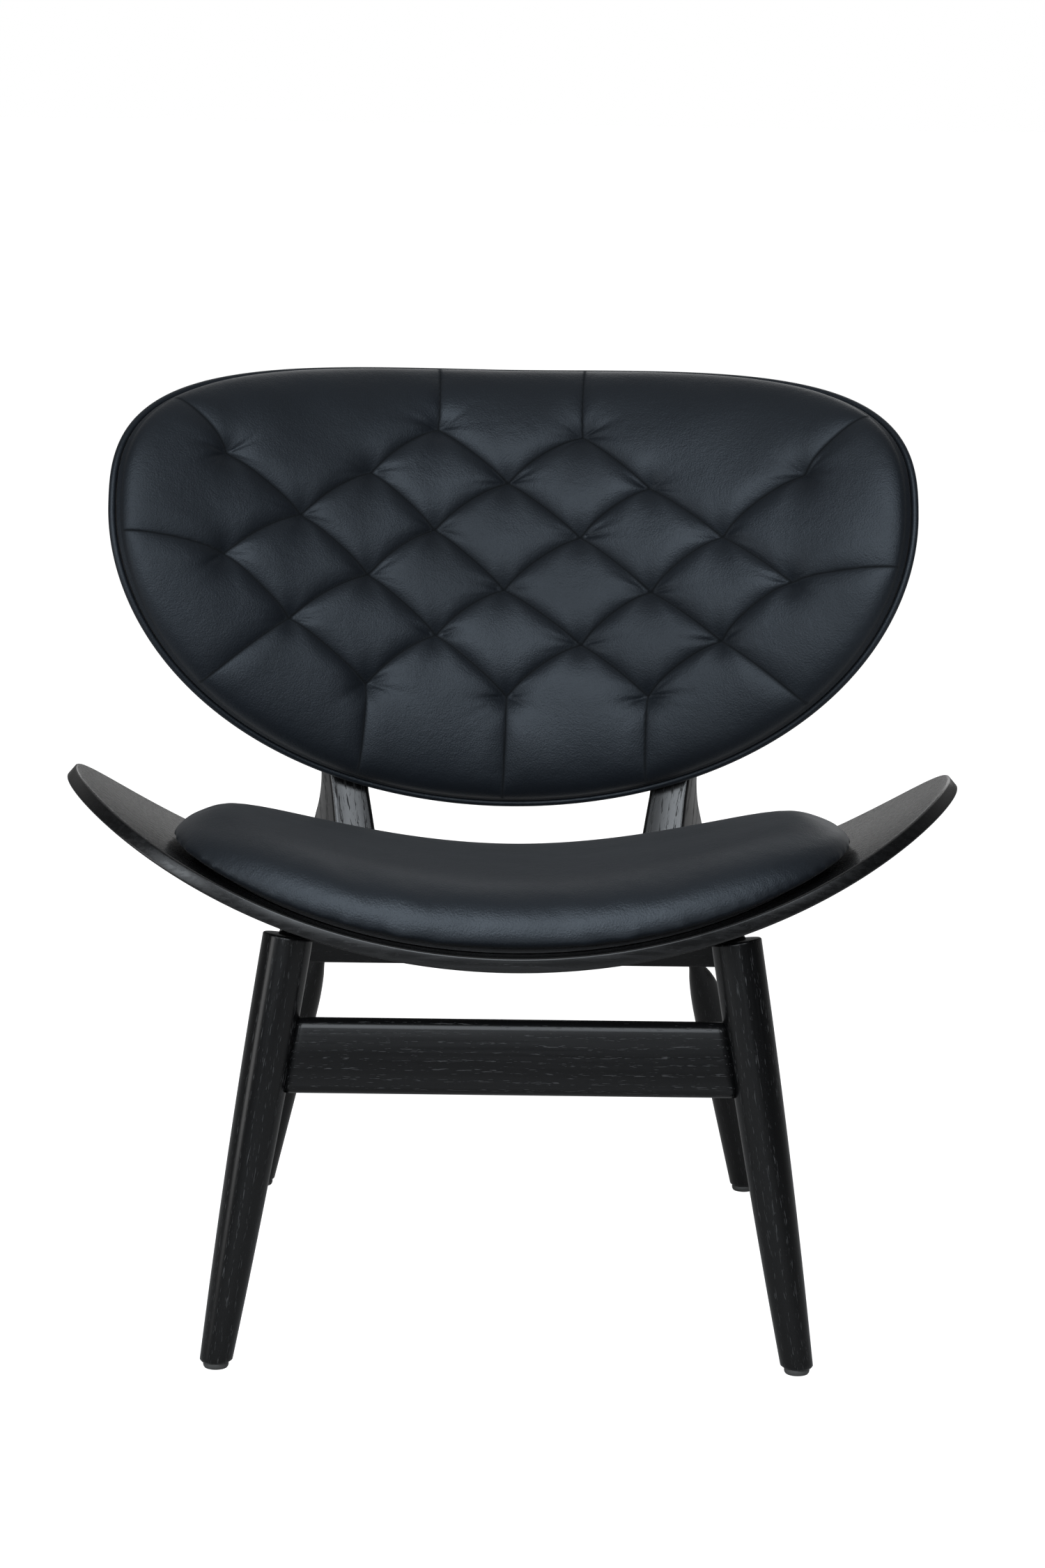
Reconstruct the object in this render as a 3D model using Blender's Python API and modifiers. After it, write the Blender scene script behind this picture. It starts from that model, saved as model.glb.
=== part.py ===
"""Tufted lounge chair: a bent plywood seat shell and a tufted, kidney-shaped back on a round-legged frame.

Metres, +Z up.  The sitter faces -Y and left means -X, as the chair is seen from the front.
The seat shell is one bend about an axis that runs front to back; the back is one bend about a leaning axis.
"""

import math

import bmesh
import bpy
from mathutils import Matrix, Vector
from mathutils.geometry import delaunay_2d_cdt

# Clearances between pieces
TOUCH_GAP = 0.0003
BENT_GAP = 0.0006
HOLE_CLEARANCE = 0.0004
CUT_OVERRUN = 0.02

# Seat shell
SEAT_HALF_WIDTH = 0.402
SEAT_FRONT_Y = -0.259
SEAT_TIP_Y = -0.03
SEAT_REAR_Y = 0.200
SEAT_FRONT_TOP_Z = 0.3825
SEAT_BEND_RADIUS = 0.615
SEAT_RECLINE = math.radians(6.0)
SEAT_PLY = 0.0135
SEAT_EDGE_ROUND = 0.0045
SEAT_FRONT_POWER = 2.3
SEAT_REAR_POWER = 1.9

# Seat pad and its board
PAD_HALF_WIDTH = 0.309
PAD_FRONT_INSET = 0.010
PAD_REAR_INSET = 0.010
PAD_MIDDLE_Y = -0.045
PAD_FRONT_POWER = 2.6
PAD_REAR_POWER = 2.3
PAD_SIDE_HEIGHT = 0.044
PAD_CROWN = 0.022
PAD_CROWN_SHARES = ((0, 1), (0.25, 0.96), (0.5, 0.81), (0.68, 0.55), (0.81, 0.18))
PAD_SIDE_SHARES = ((0.89, 0.90), (0.945, 0.74), (0.983, 0.50), (1, 0.26), (0.996, 0.06))
PAD_LIP_SHARE = 0.984
PAD_LIP_WIDTH_SHARE = 0.022
PAD_LIP_GAP_SHARE = 0.016
PAD_FLAT_SHARES = (0.6, 0.3, 0)
PAD_BOARD_PLY = 0.004
PAD_BOARD_INSET = 0.020

# Back: the reference surface is the front of its plywood
BACK_BOTTOM_Y = 0.235
BACK_BOTTOM_Z = 0.420
BACK_LEAN = math.radians(20.0)
BACK_BEND_RADIUS = 0.620
BACK_HALF_WIDTH = 0.4205
BACK_LOWER_HEIGHT = 0.270
BACK_UPPER_HEIGHT = 0.175
BACK_LOWER_POWER = 2.0
BACK_UPPER_POWER = 2.7
BACK_PLY = 0.010
BACK_COVER_THICKNESS = 0.009
COVER_ROUND_SHARE = 0.45
PIPING_RADIUS = 0.0036
BACK_PAD_EDGE = 0.020
BACK_PAD_CROWN = 0.030
PAD_ROLL_POWER = 3.2
PAD_RIM_SHARE = 0.6
RIM_ON_WELT_SHARE = 0.4
PAD_RING_SHARES = (0.905, 0.955, 0.985)

# Tufts, counted in half columns from the middle and in rows from the top
TUFT_HALF_SPACING = 0.0750
TUFT_ROW_SPACING = 0.0525
TUFT_TOP_ROW = 0.366
TUFT_ROW_SLOPE_SHARE = 0.032
TUFT_ROW_RISE_SHARE = 0.028
TUFT_DEPTH = 0.024
CREASE_DEPTH = 0.012
TUFT_WIDTH = 0.018
CREASE_WIDTH = 0.014
CREASE_STEPS = 5
TUFT_ROWS = ((-1, 1), (-4, -2, 0, 2, 4), (-3, -1, 1, 3), (-4, -2, 0, 2, 4), (-3, -1, 1, 3), (-2, 0, 2))
SEAM_WAYS = {
    (-1, 0): (0, -2), (1, 0): (0, -2), (-4, 1): (-1, -1.3), (4, 1): (1, -1.4), (-4, 3): (-2, -0.2),
    (4, 3): (2, -0.2), (-3, 4): (-1, 1.1), (3, 4): (1, 1.15), (-2, 5): (0, 2), (0, 5): (0, 2), (2, 5): (0, 2),
}

# Front legs, along their axes from top to foot
FRONT_LEG_TOP = (0.2000, -0.1900, 0.3850)
FRONT_FOOT = (0.2616, -0.2440)
FRONT_LEG_TOP_RADIUS = 0.0226
FRONT_LEG_FOOT_RADIUS = 0.0143
LEG_EDGE_ROUND = 0.0020
FRONT_LEG_TAPER_SHARES = ((0.40, 0.84), (0.72, 0.48))

# Rear legs, along their axes from rail to foot
REAR_LEG_RAIL_X = 0.187
REAR_LEG_RAIL_Y = 0.214
REAR_FOOT = (0.250, 0.335)
REAR_LEG_NECK_RADIUS = 0.0072
REAR_LEG_NECK_LENGTH = 0.0070
REAR_LEG_BELLY_RADIUS = 0.0165
REAR_LEG_FOOT_RADIUS = 0.0130
REAR_LEG_BELLY_SHARE = 0.22
REAR_LEG_SHOULDER_SHARE = 0.5
REAR_LEG_SWELL_SHARE = 0.66
REAR_LEG_BELLY_END_SHARE = 1.6
REAR_TENON_RADIUS = 0.0062
REAR_TENON_LENGTH = 0.022

# Glides
GLIDE_RADIUS = 0.0115
GLIDE_HEIGHT = 0.0060
GLIDE_SOLE_SHARE = 0.85
GLIDE_BAND_SHARE = 0.35

# Front stretcher
STRETCHER_BOTTOM_Z = 0.2450
STRETCHER_HEIGHT = 0.0675
STRETCHER_THICKNESS = 0.024
STRETCHER_ROUND = 0.007

# Rear rail
REAR_RAIL_FRONT_Y = 0.190
REAR_RAIL_THICKNESS = 0.040
REAR_RAIL_BOTTOM_Z = 0.2685
REAR_RAIL_HALF_LENGTH = 0.206
REAR_RAIL_ROUND = 0.003

# Side rails, under the shell and parallel to it
SIDE_RAIL_X = 0.194
SIDE_RAIL_WIDTH = 0.024
SIDE_RAIL_HEIGHT = 0.034
SIDE_RAIL_ROUND = 0.003
SHELL_STANDOFF = 0.006

# Uprights
UPRIGHT_U = 0.1655
UPRIGHT_V = 0.100
UPRIGHT_SPREAD = math.radians(8.0)
UPRIGHT_WIDTH = 0.0385
UPRIGHT_FOOT_Z = 0.272
UPRIGHT_TOP_Z = 0.695
UPRIGHT_TOP_DEPTH = 0.022
UPRIGHT_FOOT_DEPTH = 0.036
UPRIGHT_FLARE_DEPTH = 0.062
UPRIGHT_FLARE_Z = 0.384
UPRIGHT_FLARE_LENGTH = 0.044
UPRIGHT_STATIONS = 18
UPRIGHT_TIP_SHARE = 0.25
UPRIGHT_ROUND = 0.004

# Dowels
DOWEL_RADIUS = 0.0050
DOWEL_HALF_LENGTH = 0.018
STRETCHER_DOWEL_RISES = (0.017, 0.050)

# Shell bolts, spacers and inserts
SHELL_BOLT_FRONT_Y = -0.110
SHELL_BOLT_REAR_Y = 0.120
BOLT_RADIUS = 0.0030
BOLT_HEAD_RADIUS = 0.0062
BOLT_HEAD_HEIGHT = 0.0036
HEAD_TOP_SHARE = 0.7
HEAD_EDGE_SHARE = 0.55
SPACER_RADIUS = 0.0100
INSERT_RADIUS = 0.0052
INSERT_LENGTH = 0.0110
INSERT_REACH = 0.0080

# Bolts through the uprights
BACK_BOLT_LOW_RISE = -0.020
BACK_BOLT_TOP_INSET = 0.068
BACK_INSERT_LENGTH = 0.0085
BACK_BOLT_REACH = 0.0075
COUNTERBORE_RADIUS = 0.0080
COUNTERBORE_DEPTH = 0.0060
FOOT_BOLT_LOW_Z = 0.286
FOOT_BOLT_HIGH_Z = 0.312
FOOT_BOLT_REACH = 0.028

# Screws from below that hold the pad's board
PAD_SCREW_X = 0.150
PAD_SCREW_FRONT_Y = -0.150
PAD_SCREW_REAR_Y = 0.090
PAD_SCREW_RADIUS = 0.0020
PAD_SCREW_HEAD_RADIUS = 0.0045
PAD_SCREW_HEAD_HEIGHT = 0.0024
PAD_SCREW_REACH = 0.0030

SIDES = {"left": -1, "right": 1}
SHARP_ANGLE = math.radians(35)
SOFT_ANGLE = math.radians(60)
FLAT_ANGLE = math.radians(0.5)
BEND_STRIPS = 34
PIPING_POINTS = 84
STRIP_CROWDING_SHARE = 0.7
ROUND_STEPS = 20
SMALL_STEPS = 12

PAD_LIFT = BENT_GAP + PAD_BOARD_PLY + BENT_GAP
BACK_CENTRE_V = BACK_LOWER_HEIGHT
PAD_RIM_INSET = PIPING_RADIUS * RIM_ON_WELT_SHARE
PAD_SIDE = BACK_HALF_WIDTH - PAD_RIM_INSET
PAD_UPPER = BACK_UPPER_HEIGHT - PAD_RIM_INSET
PAD_LOWER = BACK_LOWER_HEIGHT - PAD_RIM_INSET
PAD_LATTICE_SHARE = 2 * PAD_RING_SHARES[0] - PAD_RING_SHARES[1]
COVER_REAR = BACK_PLY + BENT_GAP + BACK_COVER_THICKNESS
REAR_RAIL_REAR_Y = REAR_RAIL_FRONT_Y + REAR_RAIL_THICKNESS
LEG_BOTTOM_Z = GLIDE_HEIGHT + TOUCH_GAP

BACK_ORIGIN = Vector((0, BACK_BOTTOM_Y, BACK_BOTTOM_Z))
BACK_UP = Vector((0, math.sin(BACK_LEAN), math.cos(BACK_LEAN)))
BACK_FORWARD = Vector((0, -math.cos(BACK_LEAN), math.sin(BACK_LEAN)))


def clear_scene():
    """Removes every object, mesh and material that the file opened with."""
    for thing in list(bpy.data.objects):
        bpy.data.objects.remove(thing)
    for block in (bpy.data.meshes, bpy.data.curves, bpy.data.materials, bpy.data.collections):
        for item in list(block):
            block.remove(item)


def new_collection(name):
    """Adds a collection to the scene."""
    collection = bpy.data.collections.new(name)
    bpy.context.scene.collection.children.link(collection)
    return collection


def new_material(name, colour, roughness, metallic=0.0):
    """A plain surface with the colour, roughness and metallic value of one of the chair's materials."""
    material = bpy.data.materials.new(name)
    material.use_nodes = True
    shader = material.node_tree.nodes["Principled BSDF"]
    shader.inputs["Base Color"].default_value = (*colour, 1)
    shader.inputs["Roughness"].default_value = roughness
    shader.inputs["Metallic"].default_value = metallic
    material.diffuse_color = (*colour, 1)
    return material


clear_scene()
PARTS = new_collection("tufted_lounge_chair")
CUTTERS = new_collection("cutters")
LEATHER = new_material("black_leather", (0.016, 0.018, 0.021), 0.42)
STAINED_ASH = new_material("black_stained_ash", (0.020, 0.021, 0.023), 0.48)
STAINED_PLY = new_material("black_stained_plywood", (0.022, 0.023, 0.025), 0.45)
RAW_PLY = new_material("raw_plywood", (0.45, 0.33, 0.20), 0.70)
BEECH = new_material("beech_dowel", (0.55, 0.40, 0.25), 0.65)
STEEL = new_material("zinc_plated_steel", (0.55, 0.56, 0.58), 0.35, 1.0)
NYLON = new_material("grey_nylon", (0.30, 0.31, 0.32), 0.50)
RUBBER = new_material("black_rubber", (0.02, 0.02, 0.02), 0.80)


def add_part(name, mesh, material):
    """Puts a mesh in the chair's collection under a node's name."""
    part = bpy.data.objects.new(name, mesh)
    part.data.materials.clear()
    part.data.materials.append(material)
    PARTS.objects.link(part)
    return part


def add_cutter(name, mesh):
    """Puts a mesh among the cutters, which aren't pieces of the chair."""
    cutter = bpy.data.objects.new(name, mesh)
    CUTTERS.objects.link(cutter)
    cutter.hide_render = True
    cutter.display_type = "WIRE"
    return cutter


def finish_mesh(name, bm, smooth_angle=None):
    """Turns a bmesh into a mesh, shaded smooth up to the given angle."""
    mesh = bpy.data.meshes.new(name)
    bm.to_mesh(mesh)
    bm.free()
    if smooth_angle is not None:
        mesh.shade_smooth()
        mesh.set_sharp_from_angle(angle=smooth_angle)
    return mesh


def cut(part, cutter):
    """Takes the cutter's shape out of the part."""
    modifier = part.modifiers.new("cut_" + cutter.name, "BOOLEAN")
    modifier.operation = "DIFFERENCE"
    modifier.solver = "EXACT"
    modifier.object = cutter


def round_edges(part, width, segments=2):
    """Rounds the sharp edges of a part."""
    modifier = part.modifiers.new("round", "BEVEL")
    modifier.width = width
    modifier.segments = segments
    modifier.limit_method = "ANGLE"
    modifier.angle_limit = SHARP_ANGLE


def basis(x_axis, y_axis, z_axis, origin):
    """A matrix that carries the local axes onto three directions at an origin."""
    matrix = Matrix((x_axis, y_axis, z_axis)).transposed().to_4x4()
    matrix.translation = origin
    return matrix


def aim(origin, direction):
    """A matrix whose local Z points along a direction."""
    matrix = Vector(direction).to_track_quat("Z", "Y").to_matrix().to_4x4()
    matrix.translation = Vector(origin)
    return matrix


def turned_mesh(name, profile, steps):
    """A solid of revolution: the profile, from top to bottom on the outer side, turned about local Z.

    A profile whose ends aren't on the axis is a closed ring and gives a tube.
    """
    bm = bmesh.new()
    points = [bm.verts.new((radius, 0, height)) for radius, height in profile]
    for first, second in zip(points, points[1:]):
        bm.edges.new((first, second))
    if profile[0][0] > 0:
        bm.edges.new((points[-1], points[0]))
    mesh = finish_mesh(name, bm)
    holder = bpy.data.objects.new(name + "_profile", mesh)
    CUTTERS.objects.link(holder)
    screw = holder.modifiers.new("turn", "SCREW")
    screw.axis = "Z"
    screw.steps = steps
    screw.render_steps = steps
    screw.use_merge_vertices = True
    screw.merge_threshold = TOUCH_GAP / 10
    turned = bpy.data.meshes.new_from_object(holder.evaluated_get(bpy.context.evaluated_depsgraph_get()))
    bpy.data.objects.remove(holder)
    turned.name = name
    turned.shade_smooth()
    turned.set_sharp_from_angle(angle=SHARP_ANGLE)
    return turned


def rod_profile(radius, low, high):
    """The profile of a plain rod between two heights."""
    return ((0, high), (radius, high), (radius, low), (0, low))


def rod_cutter(name, radius, matrix, low, high):
    """A round cutter along a matrix's local Z, between two heights."""
    cutter = add_cutter(name, turned_mesh(name, rod_profile(radius, low, high), SMALL_STEPS))
    cutter.matrix_world = matrix
    return cutter


def stepped_cutter(name, matrix, low, seat):
    """A bolt's hole from a low height up to its head's seat, and the wider counterbore above the seat."""
    hole, top = BOLT_RADIUS + HOLE_CLEARANCE, seat + CUT_OVERRUN * 3
    profile = (
        (0, top), (COUNTERBORE_RADIUS, top), (COUNTERBORE_RADIUS, seat), (hole, seat), (hole, low), (0, low),
    )
    cutter = add_cutter(name, turned_mesh(name, profile, SMALL_STEPS))
    cutter.matrix_world = matrix
    return cutter


def box_mesh(name, low, high):
    """A box between two corners."""
    bm = bmesh.new()
    bmesh.ops.create_cube(bm, size=1)
    low, high = Vector(low), Vector(high)
    size = high - low
    for vert in bm.verts:
        vert.co = low + Vector((vert.co[i] + 0.5) * size[i] for i in range(3))
    return finish_mesh(name, bm)


def slab_mesh(name, outline, thickness):
    """A flat outline in local XY, given half its thickness on each side along local Z."""
    curve = bpy.data.curves.new(name, "CURVE")
    curve.dimensions = "2D"
    curve.fill_mode = "BOTH"
    curve.extrude = thickness / 2
    spline = curve.splines.new("POLY")
    spline.points.add(len(outline) - 1)
    for point, (x, y) in zip(spline.points, outline):
        point.co = (x, y, 0, 1)
    spline.use_cyclic_u = True
    holder = bpy.data.objects.new(name + "_outline", curve)
    CUTTERS.objects.link(holder)
    mesh = bpy.data.meshes.new_from_object(holder.evaluated_get(bpy.context.evaluated_depsgraph_get()))
    bpy.data.objects.remove(holder)
    bm = bmesh.new()
    bm.from_mesh(mesh)
    bmesh.ops.remove_doubles(bm, verts=bm.verts, dist=TOUCH_GAP / 10)
    bmesh.ops.dissolve_limit(bm, angle_limit=FLAT_ANGLE, verts=bm.verts, edges=bm.edges)
    bmesh.ops.recalc_face_normals(bm, faces=bm.faces)
    return finish_mesh(name, bm, SHARP_ANGLE)


def rounded_outline(rho, angle, half_width, plus_height, minus_height, plus_power, minus_power):
    """A point of a shape whose two halves are superellipses, at a share rho of the way out at an angle."""
    c, s = math.cos(angle), math.sin(angle)
    height, power = (plus_height, plus_power) if s >= 0 else (minus_height, minus_power)
    reach = rho * (abs(c) ** power + abs(s) ** power) ** (-1 / power)
    return reach * c * half_width, reach * s * height


def edge_reach(share, power):
    """How far a superellipse with unit half axes reaches at a share of its half width."""
    return max(0, 1 - abs(share) ** power) ** (1 / power)


def crowded_share(even):
    """Moves an evenly spaced share of the half width towards the tips, where an outline turns fastest."""
    return even + (math.sin(even * math.pi / 2) - even) * STRIP_CROWDING_SHARE


def bent_sheet_bmesh(surface, plus_height, minus_height, plus_power, minus_power):
    """A sheet bent one way, as straight strips along the bend's axis, closer together near the two tips.

    surface(share, along) places a point from its share of the half width and its distance along the axis.
    """
    bm = bmesh.new()
    bmesh.ops.create_grid(bm, x_segments=BEND_STRIPS, y_segments=1, size=1)
    for vert in bm.verts:
        share = crowded_share(vert.co.x)
        if vert.co.y > 0:
            along = plus_height * edge_reach(share, plus_power)
        else:
            along = -minus_height * edge_reach(share, minus_power)
        vert.co = surface(share, along)
    bmesh.ops.remove_doubles(bm, verts=bm.verts, dist=TOUCH_GAP / 10)
    return bm


def thicken(part, thickness):
    """Gives a sheet its thickness, away from the side that its faces point to."""
    modifier = part.modifiers.new("thickness", "SOLIDIFY")
    modifier.thickness = thickness
    modifier.offset = -1


def cushion_mesh(name, segments, profile, surface):
    """A closed form made from a globe: each ring of latitude takes its place from the profile."""
    bm = bmesh.new()
    rings = len(profile) - 1
    bmesh.ops.create_uvsphere(bm, u_segments=segments, v_segments=rings, radius=1)
    for vert in bm.verts:
        ring = round(math.acos(max(-1, min(1, vert.co.z))) / math.pi * rings)
        share, lift = profile[ring]
        vert.co = surface(share, math.atan2(vert.co.y, vert.co.x), lift)
    return finish_mesh(name, bm, SOFT_ANGLE)


def pad_outline(rho, angle, inset=0.0):
    """The seat pad's outline seen from above."""
    x, y = rounded_outline(
        rho, angle, PAD_HALF_WIDTH - inset, SEAT_REAR_Y - PAD_REAR_INSET - PAD_MIDDLE_Y - inset,
        PAD_MIDDLE_Y - SEAT_FRONT_Y - PAD_FRONT_INSET - inset, PAD_REAR_POWER, PAD_FRONT_POWER,
    )
    return x, y + PAD_MIDDLE_Y


def seat_top(x, y):
    """Height of the shell's upper face: an arc across, on a slope that falls to the rear."""
    arc = SEAT_BEND_RADIUS - math.sqrt(SEAT_BEND_RADIUS ** 2 - x ** 2)
    return SEAT_FRONT_TOP_Z + arc - (y - SEAT_FRONT_Y) * math.tan(SEAT_RECLINE)


def seat_normal(x):
    """Direction square to the shell's upper face."""
    slope = x / math.sqrt(SEAT_BEND_RADIUS ** 2 - x ** 2)
    return Vector((-slope, math.tan(SEAT_RECLINE), 1)).normalized()


def seat_point(x, y, lift=0.0):
    """A point at a height above the shell's upper face, square to it."""
    return Vector((x, y, seat_top(x, y))) + seat_normal(x) * lift


def back_outline(rho, angle, inset=0.0):
    """The back's outline on its own bent surface: along the bend, and up from the bottom edge."""
    u, v = rounded_outline(
        rho, angle, BACK_HALF_WIDTH - inset, BACK_UPPER_HEIGHT - inset, BACK_LOWER_HEIGHT - inset,
        BACK_UPPER_POWER, BACK_LOWER_POWER,
    )
    return u, v + BACK_CENTRE_V


def back_point(u, v, forward=0.0):
    """A point on the back, forward of its plywood's front face by a distance square to it."""
    angle = u / BACK_BEND_RADIUS
    spoke = Vector((math.sin(angle), 0, 0)) - BACK_FORWARD * math.cos(angle)
    return BACK_ORIGIN + BACK_FORWARD * BACK_BEND_RADIUS + spoke * (BACK_BEND_RADIUS - forward) + BACK_UP * v


def back_frame(u, v, forward=0.0):
    """Axes at a point on the back: X away from the sitter, Y up the lean, Z along the bend."""
    angle = u / BACK_BEND_RADIUS
    behind = Vector((math.sin(angle), 0, 0)) - BACK_FORWARD * math.cos(angle)
    return basis(behind, BACK_UP, behind.cross(BACK_UP), back_point(u, v, forward))


def lattice_place(across, down):
    """A point of the tufts' lattice, counted in half columns from the middle and in rows from the top."""
    u = across * TUFT_HALF_SPACING
    swing = TUFT_ROW_RISE_SHARE * abs(u) - TUFT_ROW_SLOPE_SHARE * u
    return Vector((u, TUFT_TOP_ROW - down * TUFT_ROW_SPACING + swing - BACK_CENTRE_V))


def pad_reach(u, v):
    """How far out a point of the back pad lies, as a share of the way from its middle to its rim."""
    height, power = (PAD_UPPER, BACK_UPPER_POWER) if v >= 0 else (PAD_LOWER, BACK_LOWER_POWER)
    return ((abs(u) / PAD_SIDE) ** power + (abs(v) / height) ** power) ** (1 / power)


def pad_rim():
    """The back pad's rim as a ring of points, from its left tip over the top and back under the bottom."""
    shares = [crowded_share(2 * index / BEND_STRIPS - 1) for index in range(BEND_STRIPS + 1)]
    upper = [Vector((share * PAD_SIDE, PAD_UPPER * edge_reach(share, BACK_UPPER_POWER))) for share in shares]
    lower = [Vector((share * PAD_SIDE, -PAD_LOWER * edge_reach(share, BACK_LOWER_POWER))) for share in shares]
    return upper + lower[-2:0:-1]


def tuft_lines():
    """Each crease and seam as its two ends: tuft to diagonal neighbour, and outer tuft to the pad's rim."""
    tufts = {(half, row) for row, halves in enumerate(TUFT_ROWS) for half in halves}
    lines = [(lattice_place(half, row), lattice_place(half + step, row + 1))
             for half, row in tufts for step in (-1, 1) if (half + step, row + 1) in tufts]
    rim = pad_rim()
    for (half, row), (across, down) in SEAM_WAYS.items():
        start, way = lattice_place(half, row), lattice_place(half + across, row + down)
        run = (way - start).normalized()
        end = max(rim, key=lambda point: (point - start).normalized().dot(run))
        lines.append((start, end))
    return lines


def distance_to_line(point, start, end):
    """How far a point lies from the stretch between two ends."""
    run = end - start
    along = max(0, min(1, (point - start).dot(run) / run.length_squared))
    return (point - start - run * along).length


def tuft_dip(point, lines):
    """How deep the tufts, creases and seams pull the pad in at a point."""
    dip = 0
    for start, end in lines:
        fall = distance_to_line(point, start, end) / CREASE_WIDTH
        dip = max(dip, CREASE_DEPTH * math.exp(-fall * fall))
    for row, halves in enumerate(TUFT_ROWS):
        for half in halves:
            fall = (point - lattice_place(half, row)).length / TUFT_WIDTH
            dip = max(dip, TUFT_DEPTH * math.exp(-fall * fall))
    return dip


def pad_plan(lines):
    """The pad's front as a flat triangle mesh whose edges follow every crease and seam."""
    rim = pad_rim()
    points, edges = [], []
    for reach in (*PAD_RING_SHARES, 1):
        first = len(points)
        points += [point * reach for point in rim]
        edges += [(first + index, first + (index + 1) % len(rim)) for index in range(len(rim))]
    for across in range(-CREASE_STEPS * 8, CREASE_STEPS * 8 + 1):
        for down in range(-CREASE_STEPS * 4, CREASE_STEPS * 10):
            place = lattice_place(across / CREASE_STEPS, down / CREASE_STEPS)
            if (across + down - CREASE_STEPS) % 2 == 0 and pad_reach(*place) < PAD_LATTICE_SHARE:
                points.append(place)
    for line in lines:
        edges.append((len(points), len(points) + 1))
        points += line
    return delaunay_2d_cdt(points, edges, [], 1, TOUCH_GAP)


def front_leg_axis(side):
    """Top and foot of a front leg's axis, the foot on the floor."""
    top = Vector((side * FRONT_LEG_TOP[0], FRONT_LEG_TOP[1], FRONT_LEG_TOP[2]))
    return top, Vector((side * FRONT_FOOT[0], FRONT_FOOT[1], 0))


def rear_leg_axis(side):
    """Shoulder and foot of a rear leg's axis, the shoulder just under the rear rail."""
    shoulder = Vector((side * REAR_LEG_RAIL_X, REAR_LEG_RAIL_Y, REAR_RAIL_BOTTOM_Z))
    return shoulder, Vector((side * REAR_FOOT[0], REAR_FOOT[1], 0))


def front_leg_profile(length, swell=0.0):
    """Half section of a front leg, from its top down, grown by a swell for use as a cutter."""
    top, foot = FRONT_LEG_TOP_RADIUS + swell, FRONT_LEG_FOOT_RADIUS + swell
    rounding = LEG_EDGE_ROUND
    taper = [(foot + (top - foot) * width_share, -length * share)
             for share, width_share in FRONT_LEG_TAPER_SHARES]
    return (
        (0, swell), (top - rounding, swell), (top, -rounding), *taper, (foot, -length),
        (foot, -length - CUT_OVERRUN), (0, -length - CUT_OVERRUN),
    )


def rear_leg_profile(length):
    """Half section of a rear leg: round tenon, narrow shoulder, belly and foot."""
    belly = length * REAR_LEG_BELLY_SHARE
    shoulder = REAR_LEG_NECK_RADIUS + (REAR_LEG_BELLY_RADIUS - REAR_LEG_NECK_RADIUS) * REAR_LEG_SWELL_SHARE
    return (
        (0, REAR_TENON_LENGTH), (REAR_TENON_RADIUS, REAR_TENON_LENGTH), (REAR_TENON_RADIUS, 0),
        (REAR_LEG_NECK_RADIUS, 0), (REAR_LEG_NECK_RADIUS, -REAR_LEG_NECK_LENGTH),
        (shoulder, -belly * REAR_LEG_SHOULDER_SHARE), (REAR_LEG_BELLY_RADIUS, -belly),
        (REAR_LEG_BELLY_RADIUS, -belly * REAR_LEG_BELLY_END_SHARE), (REAR_LEG_FOOT_RADIUS, -length),
        (REAR_LEG_FOOT_RADIUS, -length - CUT_OVERRUN), (0, -length - CUT_OVERRUN),
    )


def sway_outwards(mesh, profile, outwards):
    """Moves a turned leg's rings outwards, so that its inner side runs straight from its neck to its foot."""
    rings = [(-height, radius) for radius, height in profile if radius > 0 and height <= 0]
    rings = [ring for ring in rings if ring != (0, REAR_TENON_RADIUS)]
    length = rings[-2][0]
    for vert in mesh.vertices:
        down = max(0, min(length, -vert.co.z))
        for (upper, upper_radius), (lower, lower_radius) in zip(rings, rings[1:]):
            if upper <= down <= lower and lower > upper:
                radius = upper_radius + (lower_radius - upper_radius) * (down - upper) / (lower - upper)
                straight = REAR_LEG_NECK_RADIUS + (REAR_LEG_FOOT_RADIUS - REAR_LEG_NECK_RADIUS) * down / length
                vert.co += outwards * (radius - straight)
                break


def bolt_profile(radius, length, head_radius, head_height):
    """Half section of a bolt: the head above the seat at zero height, the shank below."""
    return (
        (0, head_height), (head_radius * HEAD_TOP_SHARE, head_height),
        (head_radius, head_height * HEAD_EDGE_SHARE), (head_radius, 0),
        (radius, 0), (radius, -length), (0, -length),
    )


def tube_profile(outer, inner, low, high):
    """Half section of a tube, down its outer side and up its inner one."""
    return ((outer, high), (outer, low), (inner, low), (inner, high))


def make_seat_shell():
    """The moulded seat: one bent sheet of plywood with rounded edges."""
    bm = bent_sheet_bmesh(
        lambda share, along: seat_point(share * SEAT_HALF_WIDTH, SEAT_TIP_Y + along),
        SEAT_REAR_Y - SEAT_TIP_Y, SEAT_TIP_Y - SEAT_FRONT_Y, SEAT_REAR_POWER, SEAT_FRONT_POWER,
    )
    shell = add_part("seat_shell", finish_mesh("seat_shell", bm, SHARP_ANGLE), STAINED_PLY)
    thicken(shell, SEAT_PLY)
    round_edges(shell, SEAT_EDGE_ROUND)
    return shell


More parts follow.
